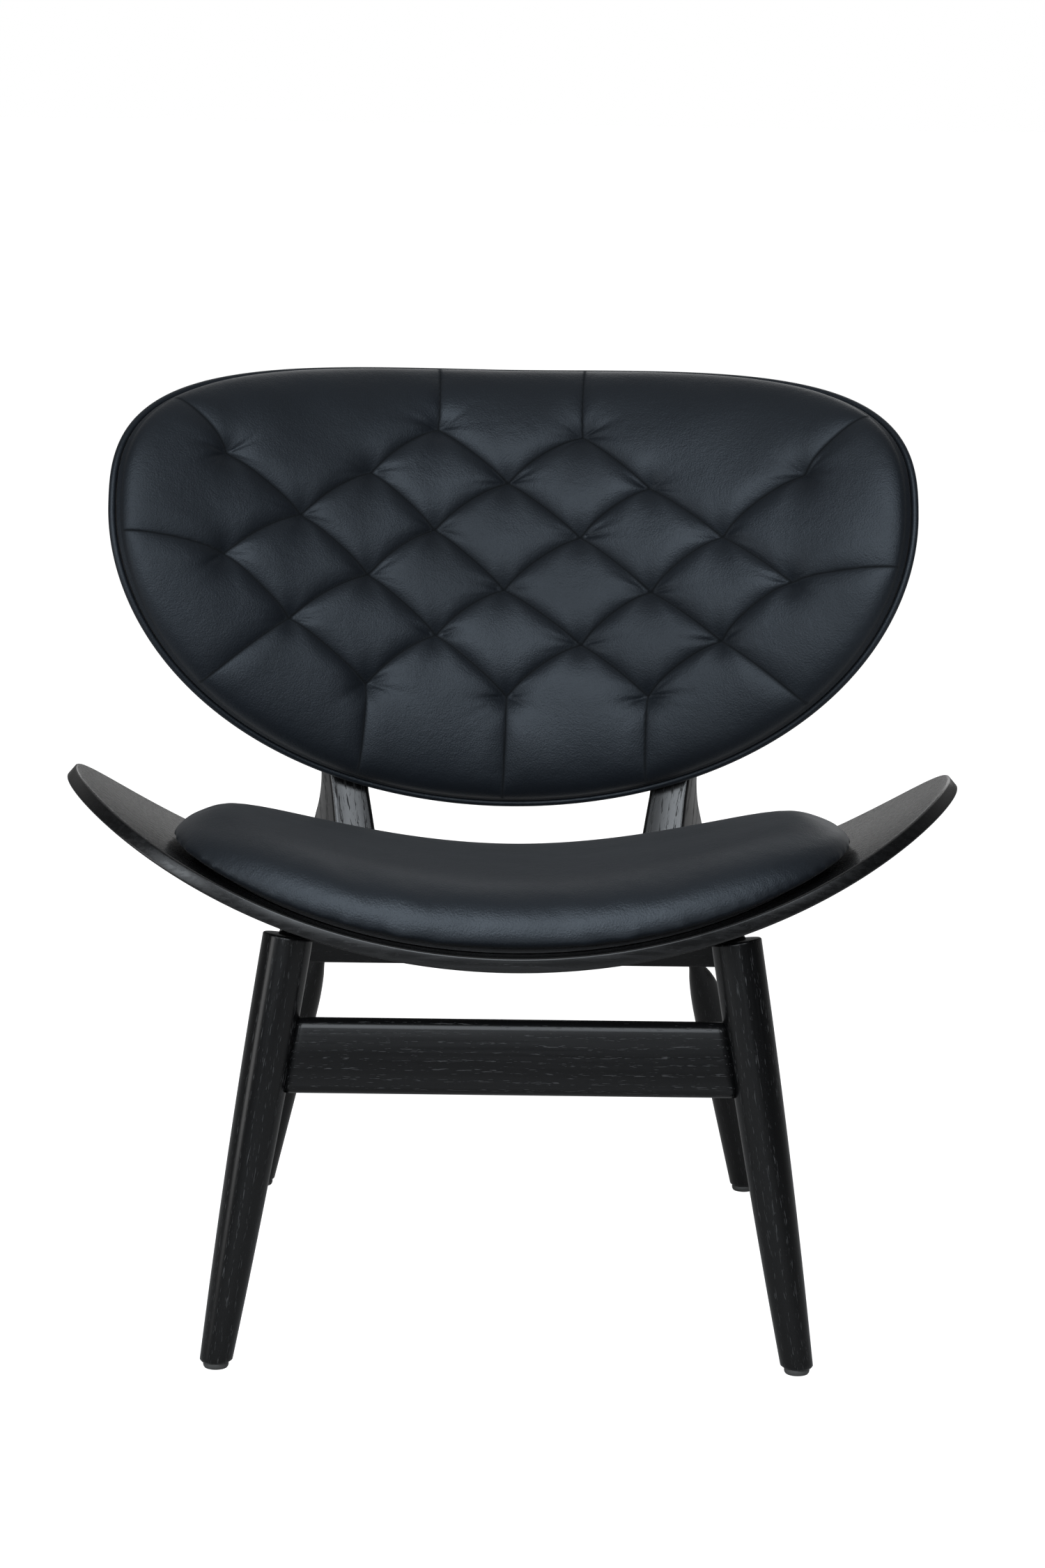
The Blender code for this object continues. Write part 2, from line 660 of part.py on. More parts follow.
def make_seat_pad():
    """The seat pad's thin board, and the crowned leather pad that wraps it."""
    bm = bent_sheet_bmesh(
        lambda share, along: seat_point(share * (PAD_HALF_WIDTH - PAD_BOARD_INSET), PAD_MIDDLE_Y + along,
                                        BENT_GAP + PAD_BOARD_PLY),
        SEAT_REAR_Y - PAD_REAR_INSET - PAD_MIDDLE_Y - PAD_BOARD_INSET,
        PAD_MIDDLE_Y - SEAT_FRONT_Y - PAD_FRONT_INSET - PAD_BOARD_INSET, PAD_REAR_POWER, PAD_FRONT_POWER,
    )
    board = add_part("seat_pad_board", finish_mesh("seat_pad_board", bm, SHARP_ANGLE), RAW_PLY)
    thicken(board, PAD_BOARD_PLY)

    def pad_surface(share, angle, lift):
        return seat_point(*pad_outline(share, angle), lift)

    side = PAD_LIFT + PAD_SIDE_HEIGHT
    board_edge_share = 1 - PAD_BOARD_INSET / PAD_HALF_WIDTH
    profile = [(share, side + PAD_CROWN * rise_share) for share, rise_share in PAD_CROWN_SHARES]
    profile += [(share, PAD_LIFT + PAD_SIDE_HEIGHT * rise_share) for share, rise_share in PAD_SIDE_SHARES]
    profile += [
        (PAD_LIP_SHARE, BENT_GAP), (board_edge_share + PAD_LIP_WIDTH_SHARE, BENT_GAP),
        (board_edge_share + PAD_LIP_GAP_SHARE, PAD_LIFT),
    ]
    profile += [(share, PAD_LIFT) for share in PAD_FLAT_SHARES]
    pad = add_part("seat_pad", cushion_mesh("seat_pad", 48, profile, pad_surface), LEATHER)
    return board, pad


def back_pad_mesh():
    """The tufted pad: a front that follows its creases, a flat-lying rear and a band that joins them."""
    lines = tuft_lines()
    rim_height = BACK_PAD_EDGE * PAD_RIM_SHARE
    bm = bmesh.new()
    plan, _, triangles, *_ = pad_plan(lines)
    front = []
    for point in plan:
        rise = math.sqrt(max(0, 1 - pad_reach(*point) ** PAD_ROLL_POWER))
        forward = rim_height + (BACK_PAD_EDGE - rim_height + BACK_PAD_CROWN) * rise
        dip = tuft_dip(point, lines) * min(1, rise / PAD_RIM_SHARE)
        front.append(bm.verts.new(back_point(point.x, point.y + BACK_CENTRE_V, forward - dip)))
    for triangle in triangles:
        bm.faces.new([front[index] for index in triangle])
    rim = pad_rim()
    for height in (rim_height, BENT_GAP):
        for point in rim:
            bm.verts.new(back_point(point.x, point.y + BACK_CENTRE_V, height))
    bm.verts.ensure_lookup_table()
    top, bottom, count = len(plan), len(plan) + len(rim), len(rim)
    for index in range(count):
        following = (index + 1) % count
        bm.faces.new([bm.verts[top + index], bm.verts[top + following], bm.verts[bottom + following],
                      bm.verts[bottom + index]])
    for index in range(BEND_STRIPS):
        corners = {index: 0, index + 1: 0, count - index - 1: 0, (count - index) % count: 0}
        bm.faces.new([bm.verts[bottom + corner] for corner in corners])
    bmesh.ops.remove_doubles(bm, verts=bm.verts, dist=TOUCH_GAP / 10)
    bmesh.ops.recalc_face_normals(bm, faces=bm.faces)
    return finish_mesh("back_pad", bm, SOFT_ANGLE)


def make_back():
    """The back: bent plywood, tufted pad in front, padded leather cover behind and piping round the edge."""
    edge = 2 * PIPING_RADIUS + 2 * BENT_GAP

    def bent_back(forward):
        return bent_sheet_bmesh(
            lambda share, along: back_point(share * (BACK_HALF_WIDTH - edge), BACK_CENTRE_V + along, forward),
            BACK_UPPER_HEIGHT - edge, BACK_LOWER_HEIGHT - edge, BACK_UPPER_POWER, BACK_LOWER_POWER,
        )

    ply = add_part("back_shell", finish_mesh("back_shell", bent_back(0), SHARP_ANGLE), RAW_PLY)
    thicken(ply, BACK_PLY)

    pad = add_part("back_pad", back_pad_mesh(), LEATHER)

    cover_mesh = finish_mesh("back_cover", bent_back(-BACK_PLY - BENT_GAP), SHARP_ANGLE)
    cover = add_part("back_cover", cover_mesh, LEATHER)
    thicken(cover, BACK_COVER_THICKNESS)
    round_edges(cover, BACK_COVER_THICKNESS * COVER_ROUND_SHARE)

    curve = bpy.data.curves.new("back_piping", "CURVE")
    curve.dimensions = "3D"
    curve.bevel_depth = PIPING_RADIUS
    curve.bevel_resolution = 1
    count = PIPING_POINTS
    spline = curve.splines.new("POLY")
    spline.points.add(count - 1)
    for index, point in enumerate(spline.points):
        u, v = back_outline(1, 2 * math.pi * index / count, PIPING_RADIUS)
        point.co = (*back_point(u, v, -BACK_PLY / 2), 1)
    spline.use_cyclic_u = True
    holder = bpy.data.objects.new("piping_curve", curve)
    CUTTERS.objects.link(holder)
    mesh = bpy.data.meshes.new_from_object(holder.evaluated_get(bpy.context.evaluated_depsgraph_get()))
    bpy.data.objects.remove(holder)
    mesh.shade_smooth()
    piping = add_part("back_piping", mesh, LEATHER)
    return ply, pad, cover, piping


def upright_frame(side):
    """Axes of an upright at its middle bolt line: X away from the sitter, Y up the post, Z across it."""
    turn = Matrix.Rotation(side * UPRIGHT_SPREAD, 4, "X")
    return back_frame(side * UPRIGHT_U, UPRIGHT_V, -COVER_REAR) @ turn


def upright_depth_at(z):
    """Depth of an upright, front to rear, at a height: a taper, swollen where the post passes the seat."""
    share = (z - UPRIGHT_FOOT_Z) / (UPRIGHT_TOP_Z - UPRIGHT_FOOT_Z)
    flare = math.exp(-(((z - UPRIGHT_FLARE_Z) / UPRIGHT_FLARE_LENGTH) ** 2))
    return UPRIGHT_FOOT_DEPTH + (UPRIGHT_TOP_DEPTH - UPRIGHT_FOOT_DEPTH) * share + UPRIGHT_FLARE_DEPTH * flare


def upright_place(y, z):
    """A point of an upright's middle plane, as distances behind the cover and up the post."""
    frame = upright_frame(1)
    out, up = y - frame.translation.y, z - frame.translation.z
    behind, rise = frame.col[0], frame.col[1]
    scale = behind.y * rise.z - behind.z * rise.y
    return (out * rise.z - up * rise.y) / scale, (up * behind.y - out * behind.z) / scale


def upright_rear_edge():
    """Rear edge of an upright's middle plane, from its top down to its foot, as (behind, rise) pairs."""
    frame = upright_frame(1)
    points = []
    for index in range(UPRIGHT_STATIONS + 1):
        z = UPRIGHT_TOP_Z + (UPRIGHT_FOOT_Z - UPRIGHT_TOP_Z) * index / UPRIGHT_STATIONS
        lean_y = frame.translation.y + (z - frame.translation.z) * frame.col[1].y / frame.col[1].z
        points.append(upright_place(max(lean_y, REAR_RAIL_REAR_Y) + upright_depth_at(z), z))
    return points


def upright_outline():
    """Side view of an upright: the front follows the cover and drops to the rail, the rear is flared."""
    rear = upright_rear_edge()
    top = rear[0][1] + UPRIGHT_TOP_DEPTH * UPRIGHT_TIP_SHARE
    low_z = UPRIGHT_FOOT_Z - CUT_OVERRUN
    return [
        upright_place(REAR_RAIL_FRONT_Y, low_z),
        upright_place(REAR_RAIL_FRONT_Y, BACK_BOTTOM_Z - CUT_OVERRUN * 2),
        (TOUCH_GAP, -UPRIGHT_V), (TOUCH_GAP, top), (rear[0][0] / 2, top), *rear,
        upright_place(REAR_RAIL_REAR_Y + UPRIGHT_FOOT_DEPTH, low_z),
    ]


def upright_depth(rise):
    """How far behind the cover an upright's rear edge lies at a distance up the post."""
    edge = upright_rear_edge()
    for (upper_depth, upper), (lower_depth, lower) in zip(edge, edge[1:]):
        if lower <= rise <= upper:
            return lower_depth + (upper_depth - lower_depth) * (rise - lower) / (upper - lower)
    return edge[0][0]


def make_uprights():
    """Two flared posts that carry the back on the rear rail."""
    plane = add_cutter("rail_rear_plane", box_mesh(
        "rail_rear_plane",
        (-SEAT_HALF_WIDTH, REAR_RAIL_FRONT_Y - CUT_OVERRUN * 3, UPRIGHT_FOOT_Z - CUT_OVERRUN * 3),
        (SEAT_HALF_WIDTH, REAR_RAIL_REAR_Y + TOUCH_GAP, BACK_BOTTOM_Z - CUT_OVERRUN / 2),
    ))
    foot = add_cutter("upright_foot_plane", box_mesh(
        "upright_foot_plane",
        (-SEAT_HALF_WIDTH, REAR_RAIL_FRONT_Y, UPRIGHT_FOOT_Z - CUT_OVERRUN * 3),
        (SEAT_HALF_WIDTH, REAR_RAIL_REAR_Y + SEAT_HALF_WIDTH, UPRIGHT_FOOT_Z),
    ))
    uprights = {}
    for word, side in SIDES.items():
        name = "upright_" + word
        upright = add_part(name, slab_mesh(name, upright_outline(), UPRIGHT_WIDTH), STAINED_ASH)
        upright.matrix_world = upright_frame(side)
        round_edges(upright, UPRIGHT_ROUND)
        cut(upright, plane)
        cut(upright, foot)
        uprights[word] = upright
    return uprights


def make_legs():
    """Four turned and tapered legs, cut level at the floor end, with a nylon glide under each."""
    floor_cut = add_cutter("floor_cut", box_mesh(
        "floor_cut", (-SEAT_HALF_WIDTH, SEAT_FRONT_Y - SEAT_HALF_WIDTH, -CUT_OVERRUN * 3),
        (SEAT_HALF_WIDTH, SEAT_REAR_Y + SEAT_HALF_WIDTH, LEG_BOTTOM_Z),
    ))
    legs = {}
    for word, side in SIDES.items():
        for end, axis, profile in (("front", front_leg_axis, front_leg_profile),
                                   ("rear", rear_leg_axis, rear_leg_profile)):
            top, foot = axis(side)
            name = f"{end}_leg_{word}"
            section = profile((top - foot).length)
            mesh = turned_mesh(name, section, ROUND_STEPS)
            place = aim(top, top - foot)
            if end == "rear":
                splay = Vector((foot.x - top.x, foot.y - top.y, 0))
                splay = place.to_3x3().inverted() @ splay
                sway_outwards(mesh, section, Vector((splay.x, splay.y, 0)).normalized())
            leg = add_part(name, mesh, STAINED_ASH)
            leg.matrix_world = place
            cut(leg, floor_cut)
            legs[name] = leg
            at_floor = foot + (top - foot) * (LEG_BOTTOM_Z / top.z)
            glide_name = f"glide_{end}_{word}"
            glide_profile = (
                (0, GLIDE_HEIGHT), (GLIDE_RADIUS, GLIDE_HEIGHT),
                (GLIDE_RADIUS, GLIDE_HEIGHT * GLIDE_BAND_SHARE),
                (GLIDE_RADIUS * GLIDE_SOLE_SHARE, 0), (0, 0),
            )
            glide = add_part(glide_name, turned_mesh(glide_name, glide_profile, SMALL_STEPS), NYLON)
            glide.location = (at_floor.x, at_floor.y, 0)
    return legs


def make_stretcher(legs):
    """The wide board between the front legs, with ends hollowed to fit them."""
    middle_z = STRETCHER_BOTTOM_Z + STRETCHER_HEIGHT / 2
    top, foot = front_leg_axis(1)
    share = (top.z - middle_z) / top.z
    middle = top + (foot - top) * share
    half = middle.x
    outline = (
        (-half, -STRETCHER_HEIGHT / 2), (half, -STRETCHER_HEIGHT / 2), (half, STRETCHER_HEIGHT / 2),
        (-half, STRETCHER_HEIGHT / 2),
    )
    mesh = slab_mesh("front_stretcher", outline, STRETCHER_THICKNESS)
    board = add_part("front_stretcher", mesh, STAINED_ASH)
    lean = math.atan2(top.y - foot.y, top.z)
    turn = Matrix.Rotation(math.pi / 2 - lean, 4, "X")
    board.matrix_world = Matrix.Translation((0, middle.y, middle_z)) @ turn
    round_edges(board, STRETCHER_ROUND, 3)
    for word, side in SIDES.items():
        top, foot = front_leg_axis(side)
        name = "front_leg_space_" + word
        profile = front_leg_profile((top - foot).length, TOUCH_GAP)
        space = add_cutter(name, turned_mesh(name, profile, ROUND_STEPS))
        space.matrix_world = aim(top, top - foot)
        cut(board, space)
        for level, rise in enumerate(STRETCHER_DOWEL_RISES):
            height = STRETCHER_BOTTOM_Z + rise
            centre = top + (foot - top) * ((top.z - height) / top.z)
            inner_face = centre.x - side * FRONT_LEG_TOP_RADIUS
            place = aim((inner_face, centre.y, height), (side, 0, 0))
            make_dowel(f"stretcher_dowel_{word}_{'upper' if level else 'lower'}", place,
                       (board, legs["front_leg_" + word]))
    return board


def make_dowel(name, place, joined):
    """A beech dowel along a place's local Z, and its holes in the pieces that it joins."""
    dowel = add_part(name, turned_mesh(name, rod_profile(DOWEL_RADIUS, -DOWEL_HALF_LENGTH, DOWEL_HALF_LENGTH),
                                       SMALL_STEPS), BEECH)
    dowel.matrix_world = place
    reach = DOWEL_HALF_LENGTH + HOLE_CLEARANCE
    hole = rod_cutter(name + "_hole", DOWEL_RADIUS + HOLE_CLEARANCE, place, -reach, reach)
    for part in joined:
        cut(part, hole)
    return dowel


def shell_underside(x, y):
    """Height of the shell's lower face, straight under a point of its upper face."""
    return seat_top(x, y) - SEAT_PLY / seat_normal(x).z


def make_rear_rail(legs):
    """The cross rail under the rear of the seat: straight below, and bent above to follow the shell."""
    steps = 10
    arc = []
    for index in range(steps + 1):
        x = REAR_RAIL_HALF_LENGTH * (1 - 2 * index / steps)
        arc.append((x, shell_underside(x, REAR_RAIL_REAR_Y) - SHELL_STANDOFF))
    outline = [(-REAR_RAIL_HALF_LENGTH, REAR_RAIL_BOTTOM_Z), (REAR_RAIL_HALF_LENGTH, REAR_RAIL_BOTTOM_Z), *arc]
    rail = add_part("rear_rail", slab_mesh("rear_rail", outline, REAR_RAIL_THICKNESS), STAINED_ASH)
    rail.matrix_world = basis(Vector((1, 0, 0)), Vector((0, 0, 1)), Vector((0, -1, 0)),
                              Vector((0, REAR_RAIL_FRONT_Y + REAR_RAIL_THICKNESS / 2, 0)))
    round_edges(rail, REAR_RAIL_ROUND, 2)
    for word, side in SIDES.items():
        place = legs["rear_leg_" + word].matrix_world
        hole, recess = REAR_TENON_RADIUS + HOLE_CLEARANCE, REAR_LEG_NECK_RADIUS + HOLE_CLEARANCE
        top = REAR_TENON_LENGTH + HOLE_CLEARANCE
        profile = (
            (0, top), (hole, top), (hole, TOUCH_GAP), (recess, TOUCH_GAP), (recess, -CUT_OVERRUN),
            (0, -CUT_OVERRUN),
        )
        socket = add_cutter("rear_leg_socket_" + word, turned_mesh("rear_leg_socket", profile, ROUND_STEPS))
        socket.matrix_world = place
        cut(rail, socket)
    return rail


def make_side_rails(legs, rear_rail):
    """Two rails under the shell from the front legs to the rear rail, tilted to lie parallel to it."""
    rails = {}
    for word, side in SIDES.items():
        x = side * SIDE_RAIL_X
        slope = x / math.sqrt(SEAT_BEND_RADIUS ** 2 - x ** 2)
        across = Vector((1, 0, slope)).normalized()
        up = Vector((-slope, 0, 1)).normalized()
        backwards = Vector((0, 1, -math.tan(SEAT_RECLINE)))
        front_y, rear_y = FRONT_LEG_TOP[1], REAR_RAIL_FRONT_Y - TOUCH_GAP
        length = rear_y - front_y
        outline = (
            (-SIDE_RAIL_WIDTH / 2, -SIDE_RAIL_HEIGHT), (SIDE_RAIL_WIDTH / 2, -SIDE_RAIL_HEIGHT),
            (SIDE_RAIL_WIDTH / 2, 0), (-SIDE_RAIL_WIDTH / 2, 0),
        )
        name = "side_rail_" + word
        mesh = slab_mesh(name, outline, length)
        middle_y = (front_y + rear_y) / 2
        top = Vector((x, middle_y, shell_underside(x, middle_y))) - up * SHELL_STANDOFF
        mesh.transform(basis(across, up, -backwards, top))
        rail = add_part(name, mesh, STAINED_ASH)
        round_edges(rail, SIDE_RAIL_ROUND, 1)
        cut(rail, bpy.data.objects["front_leg_space_" + word])
        rails[word] = rail
        for end, y, partner in (("front", FRONT_LEG_TOP[1] + FRONT_LEG_TOP_RADIUS, legs["front_leg_" + word]),
                                ("rear", REAR_RAIL_FRONT_Y, rear_rail)):
            centre = Vector((x, y, shell_underside(x, y))) - up * (SHELL_STANDOFF + SIDE_RAIL_HEIGHT / 2)
            make_dowel(f"side_rail_dowel_{end}_{word}", aim(centre, backwards), (rail, partner))
    return rails


def make_shell_fixings(shell, rails):
    """At four corners: a bolt from under the side rail, a rubber spacer, and an insert in the shell."""
    for word, side in SIDES.items():
        for end, y in (("front", SHELL_BOLT_FRONT_Y), ("rear", SHELL_BOLT_REAR_Y)):
            x = side * SIDE_RAIL_X
            place = aim(seat_point(x, y), seat_normal(x))
            suffix = f"{end}_{word}"
            rail_top = -SEAT_PLY - SHELL_STANDOFF
            rail_bottom = rail_top - SIDE_RAIL_HEIGHT
            insert_low = -SEAT_PLY + TOUCH_GAP
            insert = add_part("shell_insert_" + suffix, turned_mesh(
                "shell_insert_" + suffix,
                tube_profile(INSERT_RADIUS, BOLT_RADIUS + HOLE_CLEARANCE, insert_low,
                             insert_low + INSERT_LENGTH),
                SMALL_STEPS), STEEL)
            insert.matrix_world = place
            cut(shell, rod_cutter("insert_hole_" + suffix, INSERT_RADIUS + HOLE_CLEARANCE, place,
                                  -SEAT_PLY - CUT_OVERRUN / 2, CUT_OVERRUN / 2))
            spacer = add_part("shell_spacer_" + suffix, turned_mesh(
                "shell_spacer_" + suffix,
                tube_profile(SPACER_RADIUS, BOLT_RADIUS + HOLE_CLEARANCE, rail_top + TOUCH_GAP * 2,
                             -SEAT_PLY - TOUCH_GAP), SMALL_STEPS), RUBBER)
            spacer.matrix_world = place
            seat = rail_bottom - TOUCH_GAP
            length = INSERT_REACH - seat - SEAT_PLY
            turned = place @ Matrix.Translation((0, 0, seat)) @ Matrix.Rotation(math.pi, 4, "X")
            bolt = add_part("shell_bolt_" + suffix, turned_mesh(
                "shell_bolt_" + suffix, bolt_profile(BOLT_RADIUS, length, BOLT_HEAD_RADIUS, BOLT_HEAD_HEIGHT),
                SMALL_STEPS), STEEL)
            bolt.matrix_world = turned
            cut(rails[word], rod_cutter("shell_bolt_hole_" + suffix, BOLT_RADIUS + HOLE_CLEARANCE, place,
                                        rail_bottom - CUT_OVERRUN / 2, rail_top + CUT_OVERRUN / 4))


def make_back_fixings(uprights, cover, ply):
    """Bolts through each upright into threaded inserts in the back's plywood."""
    high_rise = upright_rear_edge()[0][1] - BACK_BOLT_TOP_INSET
    for word, side in SIDES.items():
        for level, rise in (("lower", BACK_BOLT_LOW_RISE), ("upper", high_rise)):
            suffix = f"{level}_{word}"
            u = side * (UPRIGHT_U + rise * math.sin(UPRIGHT_SPREAD))
            frame = back_frame(u, UPRIGHT_V + rise * math.cos(UPRIGHT_SPREAD))
            place = aim(frame.translation, frame.to_3x3() @ Vector((1, 0, 0)))
            insert = add_part("back_insert_" + suffix, turned_mesh(
                "back_insert_" + suffix,
                tube_profile(INSERT_RADIUS, BOLT_RADIUS + HOLE_CLEARANCE,
                             BACK_PLY - TOUCH_GAP - BACK_INSERT_LENGTH, BACK_PLY - TOUCH_GAP),
                SMALL_STEPS), STEEL)
            insert.matrix_world = place
            cut(ply, rod_cutter("back_insert_hole_" + suffix, INSERT_RADIUS + HOLE_CLEARANCE, place,
                                -CUT_OVERRUN, BACK_PLY + CUT_OVERRUN))
            seat = COVER_REAR + upright_depth(rise) - COUNTERBORE_DEPTH
            hole = stepped_cutter("back_bolt_hole_" + suffix, place, BACK_PLY, seat)
            cut(cover, hole)
            cut(uprights[word], hole)
            length = seat + TOUCH_GAP - BACK_PLY + BACK_BOLT_REACH
            bolt = add_part("back_bolt_" + suffix, turned_mesh(
                "back_bolt_" + suffix, bolt_profile(BOLT_RADIUS, length, BOLT_HEAD_RADIUS, BOLT_HEAD_HEIGHT),
                SMALL_STEPS), STEEL)
            bolt.matrix_world = place @ Matrix.Translation((0, 0, seat + TOUCH_GAP))


def make_foot_bolts(uprights, rear_rail):
    """Two bolts through each upright's foot into the rear rail."""
    for word, side in SIDES.items():
        for level, z in (("lower", FOOT_BOLT_LOW_Z), ("upper", FOOT_BOLT_HIGH_Z)):
            suffix = f"{level}_{word}"
            rear_y = REAR_RAIL_REAR_Y + upright_depth_at(z)
            x = (upright_frame(side) @ Vector((*upright_place((REAR_RAIL_REAR_Y + rear_y) / 2, z), 0))).x
            place = aim((x, REAR_RAIL_REAR_Y, z), (0, 1, 0))
            seat = rear_y - REAR_RAIL_REAR_Y - COUNTERBORE_DEPTH
            hole = stepped_cutter("foot_bolt_hole_" + suffix, place, -FOOT_BOLT_REACH - HOLE_CLEARANCE, seat)
            cut(rear_rail, hole)
            cut(uprights[word], hole)
            bolt = add_part("foot_bolt_" + suffix, turned_mesh(
                "foot_bolt_" + suffix,
                bolt_profile(BOLT_RADIUS, seat + TOUCH_GAP + FOOT_BOLT_REACH, BOLT_HEAD_RADIUS,
                             BOLT_HEAD_HEIGHT),
                SMALL_STEPS), STEEL)
            bolt.matrix_world = place @ Matrix.Translation((0, 0, seat + TOUCH_GAP))


def make_pad_screws(shell, board):
    """Four short screws from under the shell into the pad's board."""
    for word, side in SIDES.items():
        for end, y in (("front", PAD_SCREW_FRONT_Y), ("rear", PAD_SCREW_REAR_Y)):
            x = side * PAD_SCREW_X
            suffix = f"{end}_{word}"
            place = aim(seat_point(x, y), seat_normal(x))
            hole = rod_cutter("pad_screw_hole_" + suffix, PAD_SCREW_RADIUS + HOLE_CLEARANCE, place,
                              -SEAT_PLY - CUT_OVERRUN / 2, TOUCH_GAP + PAD_SCREW_REACH + HOLE_CLEARANCE)
            cut(shell, hole)
            cut(board, hole)
            seat = -SEAT_PLY - TOUCH_GAP
            length = PAD_SCREW_REACH - seat
            screw = add_part("seat_pad_screw_" + suffix, turned_mesh(
                "seat_pad_screw_" + suffix,
                bolt_profile(PAD_SCREW_RADIUS, length, PAD_SCREW_HEAD_RADIUS, PAD_SCREW_HEAD_HEIGHT),
                SMALL_STEPS), STEEL)
            screw.matrix_world = place @ Matrix.Translation((0, 0, seat)) @ Matrix.Rotation(math.pi, 4, "X")


def centre_on_floor():
    """Hangs everything on an empty and moves it so that the origin is under the middle of the chair's box."""
    root = bpy.data.objects.new("chair_origin", None)
    PARTS.objects.link(root)
    bpy.context.view_layer.update()
    depsgraph = bpy.context.evaluated_depsgraph_get()
    low, high = math.inf, -math.inf
    for part in PARTS.objects:
        if part.type != "MESH":
            continue
        evaluated = part.evaluated_get(depsgraph)
        depths = [(evaluated.matrix_world @ vert.co).y for vert in evaluated.data.vertices]
        low, high = min(low, *depths), max(high, *depths)
    for thing in list(PARTS.objects) + list(CUTTERS.objects):
        if thing is not root:
            thing.parent = root
    root.location.y = -(low + high) / 2
    bpy.context.view_layer.update()
    return root


def main():
    """Builds the chair from the seat down and then the back."""
    shell = make_seat_shell()
    board, pad = make_seat_pad()
    ply, back_pad, cover, piping = make_back()
    legs = make_legs()
    make_stretcher(legs)
    bpy.context.view_layer.update()
    rear_rail = make_rear_rail(legs)
    rails = make_side_rails(legs, rear_rail)
    uprights = make_uprights()
    make_shell_fixings(shell, rails)
    make_back_fixings(uprights, cover, ply)
    make_foot_bolts(uprights, rear_rail)
    make_pad_screws(shell, board)
    centre_on_floor()


main()
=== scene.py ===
"""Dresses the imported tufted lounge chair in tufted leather, stained ash and a pale studio.

Lengths are metres in the chair's own frame: the floor at z = 0, the sitter facing -Y, +Z up.
"""

import logging
import math
from dataclasses import dataclass
from enum import Enum
from typing import Callable, Optional, Sequence, Tuple

import bmesh
import bpy
import numpy as np
from mathutils import Matrix, Vector


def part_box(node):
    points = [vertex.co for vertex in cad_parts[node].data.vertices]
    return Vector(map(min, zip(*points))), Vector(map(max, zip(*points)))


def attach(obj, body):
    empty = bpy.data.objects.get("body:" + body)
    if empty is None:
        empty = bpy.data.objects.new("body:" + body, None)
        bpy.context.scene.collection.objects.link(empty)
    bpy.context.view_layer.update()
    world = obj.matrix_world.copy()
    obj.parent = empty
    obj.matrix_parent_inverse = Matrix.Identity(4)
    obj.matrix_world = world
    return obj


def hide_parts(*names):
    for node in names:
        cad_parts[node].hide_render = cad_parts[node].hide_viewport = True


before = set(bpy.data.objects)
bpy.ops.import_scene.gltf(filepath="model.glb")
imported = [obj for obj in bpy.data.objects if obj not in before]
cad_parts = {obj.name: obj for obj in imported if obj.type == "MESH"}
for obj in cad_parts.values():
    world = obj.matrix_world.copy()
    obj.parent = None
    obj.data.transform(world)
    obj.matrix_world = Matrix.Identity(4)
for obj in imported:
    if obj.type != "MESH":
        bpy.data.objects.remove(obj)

log = logging.getLogger("lounge_chair")
Array = np.ndarray
Pair = Tuple[float, float]
Pairs = Tuple[Pair, ...]
Triple = Tuple[float, float, float]
Colour = Triple
Material = bpy.types.Material
Object = bpy.types.Object
Socket = bpy.types.NodeSocket
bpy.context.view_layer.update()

TOUCH_GAP = 0.0003
BENT_GAP = 0.0006
CENTRE_SHIFT = -0.0707
PLY = 0.0135


class Side(Enum):
    """Left and right as the chair is seen from the front."""

    LEFT = -1
    RIGHT = 1

    @property
    def word(self) -> str:
        """The side's name as the CAD nodes spell it."""
        return self.name.lower()


# Mesh building


def circle(count: int) -> Array:
    """Angles once round, in even steps."""
    return np.linspace(0, 2 * math.pi, count, endpoint=False)


def quarter(count: int) -> Array:
    """Angles of a quarter turn, with both ends."""
    return np.linspace(0, math.pi / 2, count)


def unit(vectors: Array) -> Array:
    """Vectors divided by their lengths."""
    return vectors / np.maximum(np.linalg.norm(vectors, axis=-1, keepdims=True), 1e-12)


def quads_between(index: Array, ring: bool = True, closed: bool = False) -> list:
    """Quads between the rows of a grid of point numbers.

    Args:
        index: the numbers, row by row.
        ring: whether each row's last point joins its first.
        closed: whether the last row joins the first.

    Returns:
        Lists of four point numbers.
    """
    index = np.concatenate([index, index[:1]]) if closed else index
    index = np.concatenate([index, index[:, :1]], axis=1) if ring else index
    return np.stack([index[:-1, :-1], index[:-1, 1:], index[1:, 1:], index[1:, :-1]], axis=-1).reshape(-1, 4).tolist()


def close_rings(rings: Array) -> Tuple[Array, list]:
    """Points and faces of a closed skin through rings, with a pole in the middle of the first and last ring.

    Args:
        rings: (m, n, 3) points, ring by ring.

    Returns:
        The points with two poles added, and the faces.
    """
    count, around = rings.shape[:2]
    points = np.concatenate([rings.reshape(-1, 3), rings[:1].mean(axis=1), rings[-1:].mean(axis=1)])
    faces = quads_between(np.arange(count * around).reshape(count, around))
    first, last, start = count * around, count * around + 1, (count - 1) * around
    for index in range(around):
        following = (index + 1) % around
        faces += [[first, following, index], [last, start + index, start + following]]
    return points, faces


def places_of(mesh: bpy.types.Mesh) -> Array:
    """Places of a mesh's points.

    Args:
        mesh: the mesh.

    Returns:
        An (n, 3) array.
    """
    flat = np.empty(len(mesh.vertices) * 3)
    mesh.vertices.foreach_get("co", flat)
    return flat.reshape(-1, 3)


def set_grain(mesh: bpy.types.Mesh, grain: Array) -> None:
    """Keeps coordinates with the wood's length first as the mesh's attribute "grain"."""
    layer = mesh.attributes.get("grain") or mesh.attributes.new("grain", "FLOAT_VECTOR", "POINT")
    layer.data.foreach_set("vector", np.ascontiguousarray(grain, np.float32).ravel())


